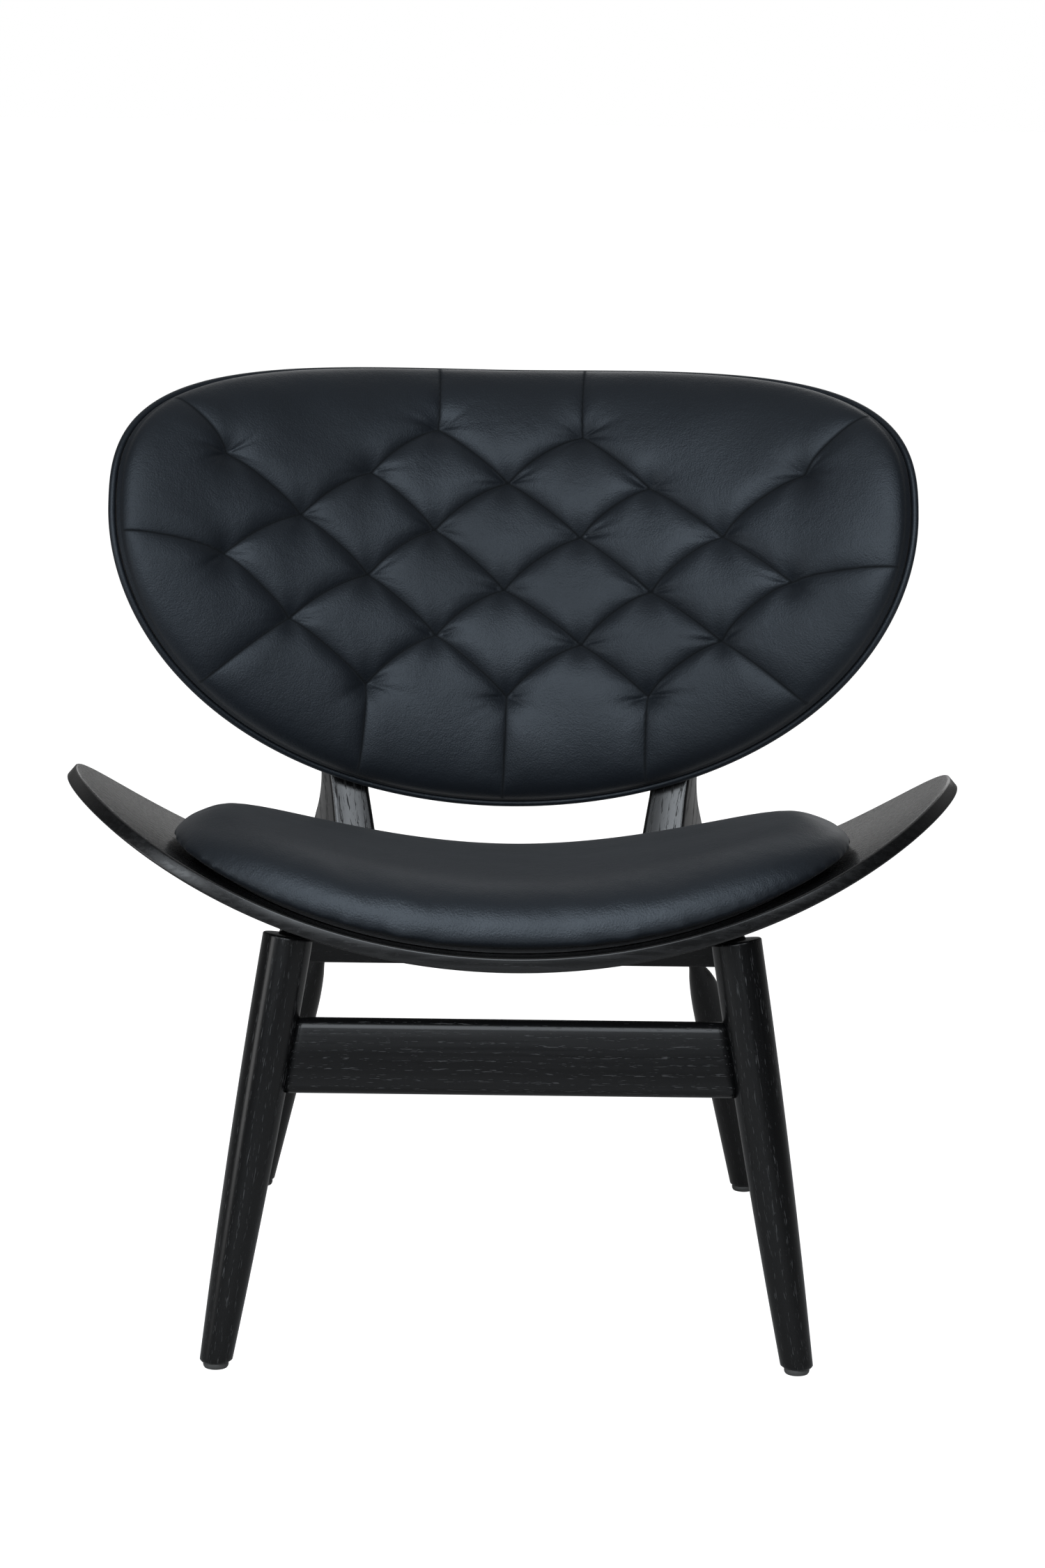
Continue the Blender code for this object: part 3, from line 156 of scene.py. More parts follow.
def make_object(name: str, points: Array, faces: list, material: Material,
                grain: Optional[Array] = None, solid: bool = True) -> Object:
    """Puts points and faces into a smooth-shaded mesh object at the origin.

    Args:
        name: the piece's name.
        points: (n, 3) places in metres.
        faces: lists of point numbers.
        material: the piece's finish.
        grain: (n, 3) coordinates with the wood's length first.
        solid: whether the mesh is closed, so that its faces can be turned outwards.

    Returns:
        The new object, linked to the scene.
    """
    mesh = bpy.data.meshes.new(name)
    mesh.from_pydata(np.asarray(points, float).tolist(), [], faces)
    if grain is not None:
        set_grain(mesh, grain)
    if solid:
        bm = bmesh.new()
        bm.from_mesh(mesh)
        bmesh.ops.recalc_face_normals(bm, faces=bm.faces)
        bm.to_mesh(mesh)
        bm.free()
    mesh.shade_smooth()
    mesh.materials.append(material)
    piece = bpy.data.objects.new(name, mesh)
    bpy.context.scene.collection.objects.link(piece)
    return piece


def dress(piece: Object, nodes: Sequence[str]) -> None:
    """Rides a finished piece on the chair and hides the solids that it stands for.

    Args:
        piece: the finished piece.
        nodes: CAD nodes that it replaces.
    """
    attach(piece, "root")
    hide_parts(*nodes)
    log.info("%s: %d faces, stands for %s", piece.name, len(piece.data.polygons), ", ".join(nodes))


def smooth_through(knots: Sequence[Sequence[float]], count: int) -> Array:
    """A curve through knots: Catmull-Rom, p = sum of knots times cubic weights of the share between two.

    Args:
        knots: points of any dimension.
        count: how many points to give back for each stretch.

    Returns:
        An array of points from the first knot to the last.
    """
    knots = np.asarray(knots, float)
    padded = np.concatenate([2 * knots[:1] - knots[1:2], knots, 2 * knots[-1:] - knots[-2:-1]])
    t = np.linspace(0, 1, count, endpoint=False)[:, None]
    pieces = [0.5 * (2 * b + (c - a) * t + (2 * a - 5 * b + 4 * c - d) * t ** 2 + (3 * b - a - 3 * c + d) * t ** 3)
              for a, b, c, d in zip(padded, padded[1:], padded[2:], padded[3:])]
    return np.concatenate(pieces + [knots[-1:]])


def axis_frame(top: Array, foot: Array) -> Tuple[Array, Array, Array]:
    """The direction from top to foot, and two directions square to it.

    Args:
        top: where the axis starts.
        foot: where it ends.

    Returns:
        The three directions.
    """
    axis = unit(np.asarray(foot, float) - np.asarray(top, float))
    first = unit(np.cross(axis, (0.0, 1.0, 0.0)))
    return axis, first, np.cross(axis, first)


def turned_rings(profile: Array, around: int, top: Array, foot: Array) -> Array:
    """Rings of a turned piece: radius r at distance s down the axis from top to foot.

    Formula: p = top + s d + r (cos a e1 + sin a e2), with d the axis and e1, e2 square to it.

    Args:
        profile: (m, 2) radii and distances.
        around: points in a ring.
        top: where the axis starts.
        foot: where it ends.

    Returns:
        (m, n, 3) points.
    """
    angle = circle(around)
    radius, distance = profile[:, 0, None], profile[:, 1, None]
    local = np.stack([distance + 0 * angle, radius * np.cos(angle), radius * np.sin(angle)], axis=-1)
    return np.asarray(top) + local @ np.stack(axis_frame(top, foot))


def outline(angle: Array, half_width: float, plus: float, minus: float, plus_power: float,
            minus_power: float) -> Tuple[Array, Array]:
    """Points of a shape whose upper and lower halves are superellipses.

    Formula: reach = (|cos a|^p + |sin a|^p)^(-1/p), x = half_width reach cos a, y = height reach sin a.

    Args:
        angle: angles from the middle.
        half_width: reach to each side.
        plus: reach upwards.
        minus: reach downwards.
        plus_power: power p of the upper half.
        minus_power: power p of the lower half.

    Returns:
        The two coordinates.
    """
    c, s = np.cos(angle), np.sin(angle)
    height, power = np.where(s >= 0, plus, minus), np.where(s >= 0, plus_power, minus_power)
    reach = (np.abs(c) ** power + np.abs(s) ** power) ** (-1 / power)
    return reach * c * half_width, reach * s * height


def rounded_section(half: float, front: float, rear: float, radius: float, corner: int) -> Tuple[Array, Array]:
    """A rounded rectangle's loop: across from -half to half, and from front to rear.

    Args:
        half: half the width across.
        front: where the front face stands.
        rear: where the rear face stands.
        radius: the corners' radius.
        corner: steps in each corner.

    Returns:
        Across and depth values round the loop.
    """
    turn = quarter(corner)
    across, depth = [], []
    for side in range(4):
        angle = turn + side * math.pi / 2
        across.append((half - radius) * (1 if side in (0, 3) else -1) + radius * np.cos(angle))
        depth.append((rear - radius if side in (0, 1) else front + radius) + radius * np.sin(angle))
    return np.concatenate(across), np.concatenate(depth)


# Finishes


class Graph:
    """The nodes of a material or a world, added and linked with few words."""

    def __init__(self, owner: bpy.types.ID) -> None:
        """Takes over a node tree and empties it.

        Args:
            owner: the material or world.
        """
        owner.use_nodes = True
        self.owner, self.tree = owner, owner.node_tree
        self.tree.nodes.clear()

    def put(self, socket: Socket, value: object) -> None:
        """Links a socket to another, or sets its value.

        Args:
            socket: the input to fill.
            value: an output socket, a number, a colour or a vector.
        """
        if isinstance(value, Socket):
            self.tree.links.new(value, socket)
        elif isinstance(value, tuple) and len(value) == 3 and socket.type == "RGBA":
            socket.default_value = (*value, 1)
        else:
            socket.default_value = value

    def node(self, kind: str, inputs: dict, **settings: object) -> bpy.types.Node:
        """Adds a node.

        Args:
            kind: Blender's node type.
            inputs: values or sockets by input name or number.
            settings: the node's own properties.

        Returns:
            The node.
        """
        made = self.tree.nodes.new(kind)
        for key, value in settings.items():
            setattr(made, key, value)
        for key, value in inputs.items():
            self.put(made.inputs[key], value)
        return made

    def own(self, name: str) -> Socket:
        """The piece's attribute of that name."""
        return self.node("ShaderNodeAttribute", {}, attribute_name=name).outputs["Vector"]

    def object_space(self) -> Socket:
        """Object coordinates, which are the chair's frame on every piece."""
        return self.node("ShaderNodeTexCoord", {}).outputs["Object"]

    def lengthwise(self) -> Socket:
        """Object coordinates with the one from front to rear first, for a rail that runs that way."""
        parts = self.node("ShaderNodeSeparateXYZ", {0: self.object_space()}).outputs
        return self.node("ShaderNodeCombineXYZ", {0: parts[1], 1: parts[0], 2: parts[2]}).outputs[0]

    def scaled(self, vector: Socket, scale: Sequence[float]) -> Socket:
        """A vector times a scale for each axis."""
        return self.node("ShaderNodeVectorMath", {0: vector, 1: tuple(scale)}, operation="MULTIPLY").outputs[0]

    def noise(self, vector: Socket, scale: float, detail: float = 2.0,
              rough: float = 0.5) -> Socket:
        """Noise from 0 to 1 at so many cells a metre."""
        return self.node("ShaderNodeTexNoise", {"Vector": vector, "Scale": scale, "Detail": detail,
                                                "Roughness": rough}).outputs[0]

    def math(self, operation: str, *values: object) -> Socket:
        """One step of arithmetic."""
        return self.node("ShaderNodeMath", dict(enumerate(values)), operation=operation).outputs[0]

    def ranged(self, value: Socket, low: float, high: float, to_low: float,
               to_high: float) -> Socket:
        """A value carried smoothly from one range to another, and held at its ends."""
        return self.node("ShaderNodeMapRange", {0: value, 1: low, 2: high, 3: to_low, 4: to_high},
                         interpolation_type="SMOOTHSTEP").outputs[0]

    def mixed(self, share: object, first: object, second: object) -> Socket:
        """Two colours mixed.

        Args:
            share: how much of the second there is.
            first: a colour or socket.
            second: a colour or socket.

        Returns:
            The mixed colour's socket.
        """
        mix = self.node("ShaderNodeMix", {0: share}, data_type="RGBA")
        self.put(mix.inputs[6], first)
        self.put(mix.inputs[7], second)
        return mix.outputs[2]

    def bump(self, height: Socket, depth: float,
             under: Optional[Socket] = None) -> Socket:
        """A bump, on top of another where one is given.

        Args:
            height: the relief, from a noise or a pattern.
            depth: its depth in metres.
            under: the bump below it.

        Returns:
            The normal's socket.
        """
        inputs = {"Height": height, "Distance": depth, "Strength": 1.0}
        if under is not None:
            inputs["Normal"] = under
        return self.node("ShaderNodeBump", inputs).outputs[0]

    def total(self, *values: object) -> Socket:
        """Two values added."""
        return self.math("ADD", *values)

    def product(self, *values: object) -> Socket:
        """Two values multiplied."""
        return self.math("MULTIPLY", *values)

    def finish(self, **sockets: object) -> Material:
        """Adds a Principled shader with these inputs, spaces written as underscores, and gives the material back."""
        inputs = {name.replace("_", " "): value for name, value in sockets.items()}
        shader = self.node("ShaderNodeBsdfPrincipled", inputs)
        self.node("ShaderNodeOutputMaterial", {"Surface": shader.outputs[0]})
        return self.owner


def new_graph(name: str) -> Graph:
    """The empty nodes of a new material."""
    return Graph(bpy.data.materials.new(name))


CLOUD_BAND = (0.3, 0.7)


@dataclass(frozen=True)
class Leather:
    """Soft satin upholstery leather with a fine pebbled grain."""

    name: str
    tint: Colour = (0.0056, 0.0074, 0.0104)
    shade: Colour = (0.0040, 0.0054, 0.0078)
    # Painted shade: the near-black colour laid along the creases so that they read as dark shaded lines.
    crease: Colour = (0.0008, 0.0010, 0.0013)
    gloss: Colour = (0.82, 0.91, 1.0)
    shaded_creases: bool = False
    level: float = 0.40
    roughness: float = 0.47
    grain: float = 620.0
    depth: float = 0.00022
    fine_share: float = 2.2
    stretch: float = 95.0
    cloud: float = 9.0
    pebble_height: float = 0.8
    fine_height: float = 0.35
    stretch_depth: float = 1.6
    crease_roughness: float = 0.5

    def material(self) -> Material:
        """Pebbles from a cell pattern, fine wrinkles from noise, and wide clouds of tint and gloss, with painted
        shade darkening the colour along the creases where shaded_creases is set.

        Returns:
            The material.
        """
        graph = new_graph(self.name)
        place = graph.object_space()
        pebbles = graph.node("ShaderNodeTexVoronoi", {"Vector": place, "Scale": self.grain, "Smoothness": 0.7},
                             feature="SMOOTH_F1").outputs["Distance"]
        fine = graph.noise(place, self.grain * self.fine_share, 3.0, 0.6)
        stretch = graph.noise(place, self.stretch, 3.0, 0.55)
        cloud = graph.noise(place, self.cloud, 3.0, 0.5)
        height = graph.total(graph.product(pebbles, -self.pebble_height), graph.product(fine, self.fine_height))
        relief = graph.bump(height, self.depth, graph.bump(stretch, self.depth * self.stretch_depth))
        colour = graph.mixed(graph.ranged(cloud, *CLOUD_BAND, 0, 1), self.shade, self.tint)
        rough = graph.total(graph.ranged(cloud, *CLOUD_BAND, self.roughness + 0.04, self.roughness - 0.03),
                            graph.product(fine, 0.05))
        # Painted shade: the crease attribute pulls the colour towards the crease colour along each crease, in place
        # of the shade in the folds; it also roughens the leather there.
        if self.shaded_creases:
            line = graph.node("ShaderNodeAttribute", {}, attribute_name="crease").outputs["Fac"]
            colour = graph.mixed(line, colour, self.crease)
            rough = graph.total(rough, graph.product(line, self.crease_roughness))
        return graph.finish(Base_Color=colour, Roughness=rough, IOR=1.5, Specular_IOR_Level=self.level,
                            Specular_Tint=self.gloss, Sheen_Weight=0.04, Sheen_Roughness=0.45, Normal=relief)


@dataclass(frozen=True)
class StainedAsh:
    """Ash stained black under satin lacquer, with open pores along the grain."""

    name: str
    stain: Colour = (0.0028, 0.0029, 0.0031)
    worn: Colour = (0.0042, 0.0043, 0.0046)
    pore: Colour = (0.036, 0.0365, 0.0375)
    pore_share: float = 0.9
    ring: float = 0.0085
    roughness: float = 0.24
    level: float = 0.50
    pore_from: float = 0.67
    pore_roughness: float = 0.5
    streak: float = 0.02
    gather: float = 0.10
    bump: float = 0.000004
    plain: bool = False
    pore_edge: float = 0.04
    wander: float = 0.03
    wander_cells: Triple = (3.0, 14.0, 14.0)
    dash_cells: Triple = (105.0, 1300.0, 1300.0)
    fibre_cells: Triple = (28.0, 2300.0, 2300.0)
    streak_cells: Triple = (4.0, 330.0, 330.0)
    streak_band: Pair = (0.35, 0.65)
    wave_band: Pair = (0.30, 0.95)
    ring_tilt: float = 0.33
    fibre_height: float = 0.12

    def material(self) -> Material:
        """Pits gather in wavy lines, sin(2 pi (y + z / 3 + wander) / ring) near 1, and fibres run between them.

        Returns:
            The material. It reads the piece's "grain" attribute, or object coordinates where plain is set.
        """
        graph = new_graph(self.name)
        place = graph.lengthwise() if self.plain else graph.own("grain")
        parts = graph.node("ShaderNodeSeparateXYZ", {0: place}).outputs
        wander, dashes, fibres, streaks = (
            graph.noise(graph.scaled(place, cells), 1.0, detail, rough) for cells, detail, rough in (
                (self.wander_cells, 2.0, 0.5), (self.dash_cells, 2.0, 0.5), (self.fibre_cells, 3.0, 0.6),
                (self.streak_cells, 2.0, 0.5)))
        level = graph.total(graph.total(parts[1], graph.product(parts[2], self.ring_tilt)),
                            graph.product(wander, self.wander))
        wave = graph.math("SINE", graph.product(level, 2 * math.pi / self.ring))
        gathered = graph.ranged(wave, *self.wave_band, 0.0, self.gather)
        pores = graph.ranged(graph.total(dashes, gathered), self.pore_from, self.pore_from + self.pore_edge, 0, 1)
        ground = graph.mixed(graph.product(graph.ranged(streaks, *self.streak_band, 0, 1), fibres), self.stain,
                             self.worn)
        gloss = graph.ranged(streaks, *self.streak_band, self.roughness - 0.01, self.roughness + self.streak)
        height = graph.math("SUBTRACT", graph.product(fibres, self.fibre_height), pores)
        return graph.finish(
            Base_Color=graph.mixed(graph.product(pores, self.pore_share), ground, self.pore),
            Roughness=graph.total(graph.product(pores, self.pore_roughness), gloss),
            IOR=1.45, Specular_IOR_Level=self.level, Normal=graph.bump(height, self.bump))


@dataclass(frozen=True)
class Plain:
    """A simple finish with a little variation in tone and gloss."""

    name: str
    colour: Colour
    dark: Colour
    roughness: float
    metallic: float = 0.0
    scale: float = 60.0
    relief: float = 0.00004

    def material(self) -> Material:
        """Clouds of tone, and a fine noise in the surface.

        Returns:
            The material.
        """
        graph = new_graph(self.name)
        place = graph.object_space()
        fine = graph.noise(place, self.scale * 22, 2.0)
        return graph.finish(
            Base_Color=graph.mixed(graph.noise(place, self.scale, 3.0), self.dark, self.colour),
            Metallic=self.metallic, Normal=graph.bump(fine, self.relief),
            Roughness=graph.ranged(fine, *CLOUD_BAND, self.roughness - 0.05, self.roughness + 0.05))


# The two bent surfaces


@dataclass(frozen=True)
class SeatBend:
    """The seat's upper face: an arc across, on a slope that falls to the rear."""

    front_y: float = -0.259 + CENTRE_SHIFT
    tip_y: float = -0.03 + CENTRE_SHIFT
    rear_y: float = 0.200 + CENTRE_SHIFT
    front_top_z: float = 0.3825
    radius: float = 0.615
    slope: float = math.tan(math.radians(6.0))

    def point(self, x: Array, y: Array, lift: Array = 0.0) -> Array:
        """Points at a height above the face, square to it.

        Formula: z = front top + R - sqrt(R^2 - x^2) - slope (y - front), moved along the normal by lift.

        Args:
            x: places across.
            y: places front to rear.
            lift: height above the face.

        Returns:
            Points with a last axis of 3.
        """
        x, y, lift = np.broadcast_arrays(x, y, lift)
        root = np.sqrt(self.radius ** 2 - x ** 2)
        z = self.front_top_z + self.radius - root - (y - self.front_y) * self.slope
        normal = unit(np.stack([-x / root, self.slope + 0.0 * x, 1.0 + 0.0 * x], axis=-1))
        return np.stack([x, y, z], axis=-1) + normal * lift[..., None]


@dataclass(frozen=True)
class BackBend:
    """The back's reference surface: part of a cylinder that leans back."""

    bottom: Triple = (0.0, 0.235 + CENTRE_SHIFT, 0.420)
    lean: float = math.radians(20.0)
    radius: float = 0.620
    half_width: float = 0.4205
    lower: float = 0.270
    upper: float = 0.175
    lower_power: float = 2.0
    upper_power: float = 2.7

    @property
    def up(self) -> Array:
        """Direction up the lean."""
        return np.array([0.0, math.sin(self.lean), math.cos(self.lean)])

    @property
    def forward(self) -> Array:
        """Direction square to the middle of the back, towards the sitter."""
        return np.array([0.0, -math.cos(self.lean), math.sin(self.lean)])

    def behind(self, u: Array) -> Array:
        """Directions square to the surface, away from the sitter: sin a X - cos a forward, with a = u / R."""
        angle = np.asarray(u)[..., None] / self.radius
        return np.sin(angle) * np.array([1.0, 0.0, 0.0]) - np.cos(angle) * self.forward

    def point(self, u: Array, v: Array, forward: Array = 0.0) -> Array:
        """Points on the back: bottom + R forward + (R - f) behind(u) + v up.

        Args:
            u: places along the bend.
            v: places up from the bottom edge.
            forward: distances in front of the reference surface.

        Returns:
            Points with a last axis of 3.
        """
        u, v, forward = np.broadcast_arrays(u, v, forward)
        return (np.array(self.bottom) + self.forward * self.radius
                + self.behind(u) * (self.radius - forward)[..., None] + self.up * v[..., None])

    def edge(self, angle: Array, inset: Array = 0.0) -> Tuple[Array, Array]:
        """The back's outline, drawn in by an inset.

        Args:
            angle: angles round the outline's middle.
            inset: how far it is drawn in.

        Returns:
            Places along the bend and up.
        """
        u, v = outline(angle, self.half_width - inset, self.upper - inset, self.lower - inset, self.upper_power,
                       self.lower_power)
        return u, v + self.lower


SEAT = SeatBend()
BACK = BackBend()
COVER_FRONT = 0.010 + BENT_GAP
COVER_REAR = COVER_FRONT + 0.009


# The seat


@dataclass
class Seat:
    """The bent plywood seat and its upholstered pad."""

    veneer: Material
    leather: Material
    half_width: float = 0.402
    front_power: float = 2.3
    rear_power: float = 1.9
    edge_round: float = 0.0020
    pad_half_width: float = 0.3145
    pad_front_inset: float = 0.010
    pad_rear_inset: float = 0.010
    pad_middle_y: float = -0.080 + CENTRE_SHIFT
    pad_front_power: float = 2.9
    pad_rear_power: float = 2.45
    pad_profile: Pairs = (
        (0.0, 0.0672), (0.25, 0.0664), (0.48, 0.0644), (0.64, 0.0614), (0.76, 0.0573), (0.86, 0.0512),
        (0.930, 0.0434), (0.975, 0.0336), (1.0, 0.0210), (1.0, 0.0130), (0.995, 0.0086), (0.982, 0.0058),
        (0.95, 0.0050), (0.0, 0.0050))
    around: Tuple[int, int] = (360, 240)
    pole: Pair = (0.02, 0.01)
    voxel: float = 0.005
    swell: float = 0.0035
    held_below: float = 0.008
    free_above: float = 0.020
    frames: int = 20

    def ring(self, share: float, inset: float, lift: float) -> Tuple[Array, Array, Array]:
        """One ring of the shell.

        Args:
            share: its size as a share of the outline.
            inset: how far the outline is drawn in.
            lift: its height above the upper face.

        Returns:
            Places across, places front to rear, and heights.
        """
        x, y = outline(circle(self.around[0]), self.half_width - inset, SEAT.rear_y - SEAT.tip_y - inset,
                       SEAT.tip_y - SEAT.front_y - inset, self.rear_power, self.front_power)
        return x * share, y * share, np.full(x.shape, lift)

    def shell(self) -> None:
        """A closed skin of rings: out over the top, round the edge by quarter circles, and back underneath."""
        r = self.edge_round
        turn = quarter(7)
        inner = np.linspace(self.pole[0], 1, 60)
        rows = [self.ring(share, r, 0.0) for share in inner]
        rows += [self.ring(1, r - r * math.sin(a), -r + r * math.cos(a)) for a in turn[1:]]
        rows += [self.ring(1, r - r * math.cos(a), -PLY + r - r * math.sin(a)) for a in turn]
        rows += [self.ring(share, r, -PLY) for share in inner[::-1][1:]]
        x, y, lift = (np.array([row[part] for row in rows]) for part in range(3))
        points, faces = close_rings(SEAT.point(x, y + SEAT.tip_y, lift))
        arc = SEAT.radius * np.arcsin(points[:, 0] / SEAT.radius)
        flat = np.stack([arc, points[:, 1], points[:, 2]], axis=1)
        dress(make_object("seat_shell_veneered", points, faces, self.veneer, flat), ["seat_shell"])

    def pad_points(self) -> Tuple[Array, list]:
        """The pad before it swells: a profile carried round its outline, on the seat's bend.

        Returns:
            Points and faces.
        """
        plus = SEAT.rear_y - self.pad_rear_inset - self.pad_middle_y
        minus = self.pad_middle_y - SEAT.front_y - self.pad_front_inset
        x, y = outline(circle(self.around[1]), self.pad_half_width, plus, minus, self.pad_rear_power,
                       self.pad_front_power)
        profile = smooth_through(self.pad_profile, 8)[1:-1]
        share, lift = np.clip(profile[:, 0, None], self.pole[1], 1.0), profile[:, 1, None]
        return close_rings(SEAT.point(x * share, y * share + self.pad_middle_y, lift + 0 * x))

    def pad(self) -> None:
        """The pad, swollen by a short cloth simulation and held to its board."""
        piece = make_object("seat_pad_leather", *self.pad_points(), self.leather)
        swell(piece, self.voxel, self.swell, self.frames, self.freedom)
        dress(piece, ["seat_pad"])

    def freedom(self, place: Array) -> Array:
        """The part of the swelling that points may use: none low down at the shell, all of it higher up."""
        lift = place[:, 2] - SEAT.point(place[:, 0], place[:, 1])[:, 2]
        return np.clip((lift - self.held_below) / (self.free_above - self.held_below), 0, 1)


CLOTH = {
    "use_pressure": True, "uniform_pressure_force": 4.0, "quality": 6, "mass": 0.3, "tension_stiffness": 12.0,
    "compression_stiffness": 12.0, "shear_stiffness": 6.0, "bending_stiffness": 0.6}
EVENING_PASSES = 18


def swell(piece: Object, voxel: float, most: float, frames: int,
          share: Callable[[Array], Array]) -> None:
    """Remeshes a pad and blows it up a little with Blender's Cloth, each point moved no further than its cap.

    Args:
        piece: the pad.
        voxel: the remesh's cell.
        most: the furthest that a point may move.
        frames: how many frames the cloth runs.
        share: the part of the cap that each point may use, from its place.
    """
    bpy.context.view_layer.objects.active = piece
    for other in bpy.context.selected_objects:
        other.select_set(False)
    piece.select_set(True)
    remesh = piece.modifiers.new("remesh", "REMESH")
    remesh.mode = "VOXEL"
    remesh.voxel_size = voxel
    bpy.ops.object.modifier_apply(modifier=remesh.name)
    start = places_of(piece.data)
    cloth = piece.modifiers.new("cloth", "CLOTH")
    for key, value in CLOTH.items():
        setattr(cloth.settings, key, value)
    cloth.settings.effector_weights.gravity = 0.0
    cloth.collision_settings.use_collision = False
    cloth.collision_settings.use_self_collision = False
    scene = bpy.context.scene
    for number in range(1, frames + 1):
        scene.frame_set(number)
    move = places_of(piece.evaluated_get(bpy.context.evaluated_depsgraph_get()).to_mesh()) - start
    piece.modifiers.remove(cloth)
    scene.frame_set(1)
    length = np.linalg.norm(move, axis=1, keepdims=True)
    cap = most * share(start)[:, None]
    held = cap * np.tanh(length / np.maximum(cap, 1e-6))
    place = start + move / np.maximum(length, 1e-9) * held
    piece.data.vertices.foreach_set("co", np.ascontiguousarray(place).ravel())
    piece.data.update()
    even = piece.modifiers.new("even", "SMOOTH")
    even.factor, even.iterations = 0.5, EVENING_PASSES
    smooth = piece.modifiers.new("smooth", "SUBSURF")
    smooth.levels = smooth.render_levels = 1
    piece.data.shade_smooth()
    log.info("%s swelled by %.1f mm at most over %d points", piece.name, 1000 * float(held.max()), len(start))


# The back


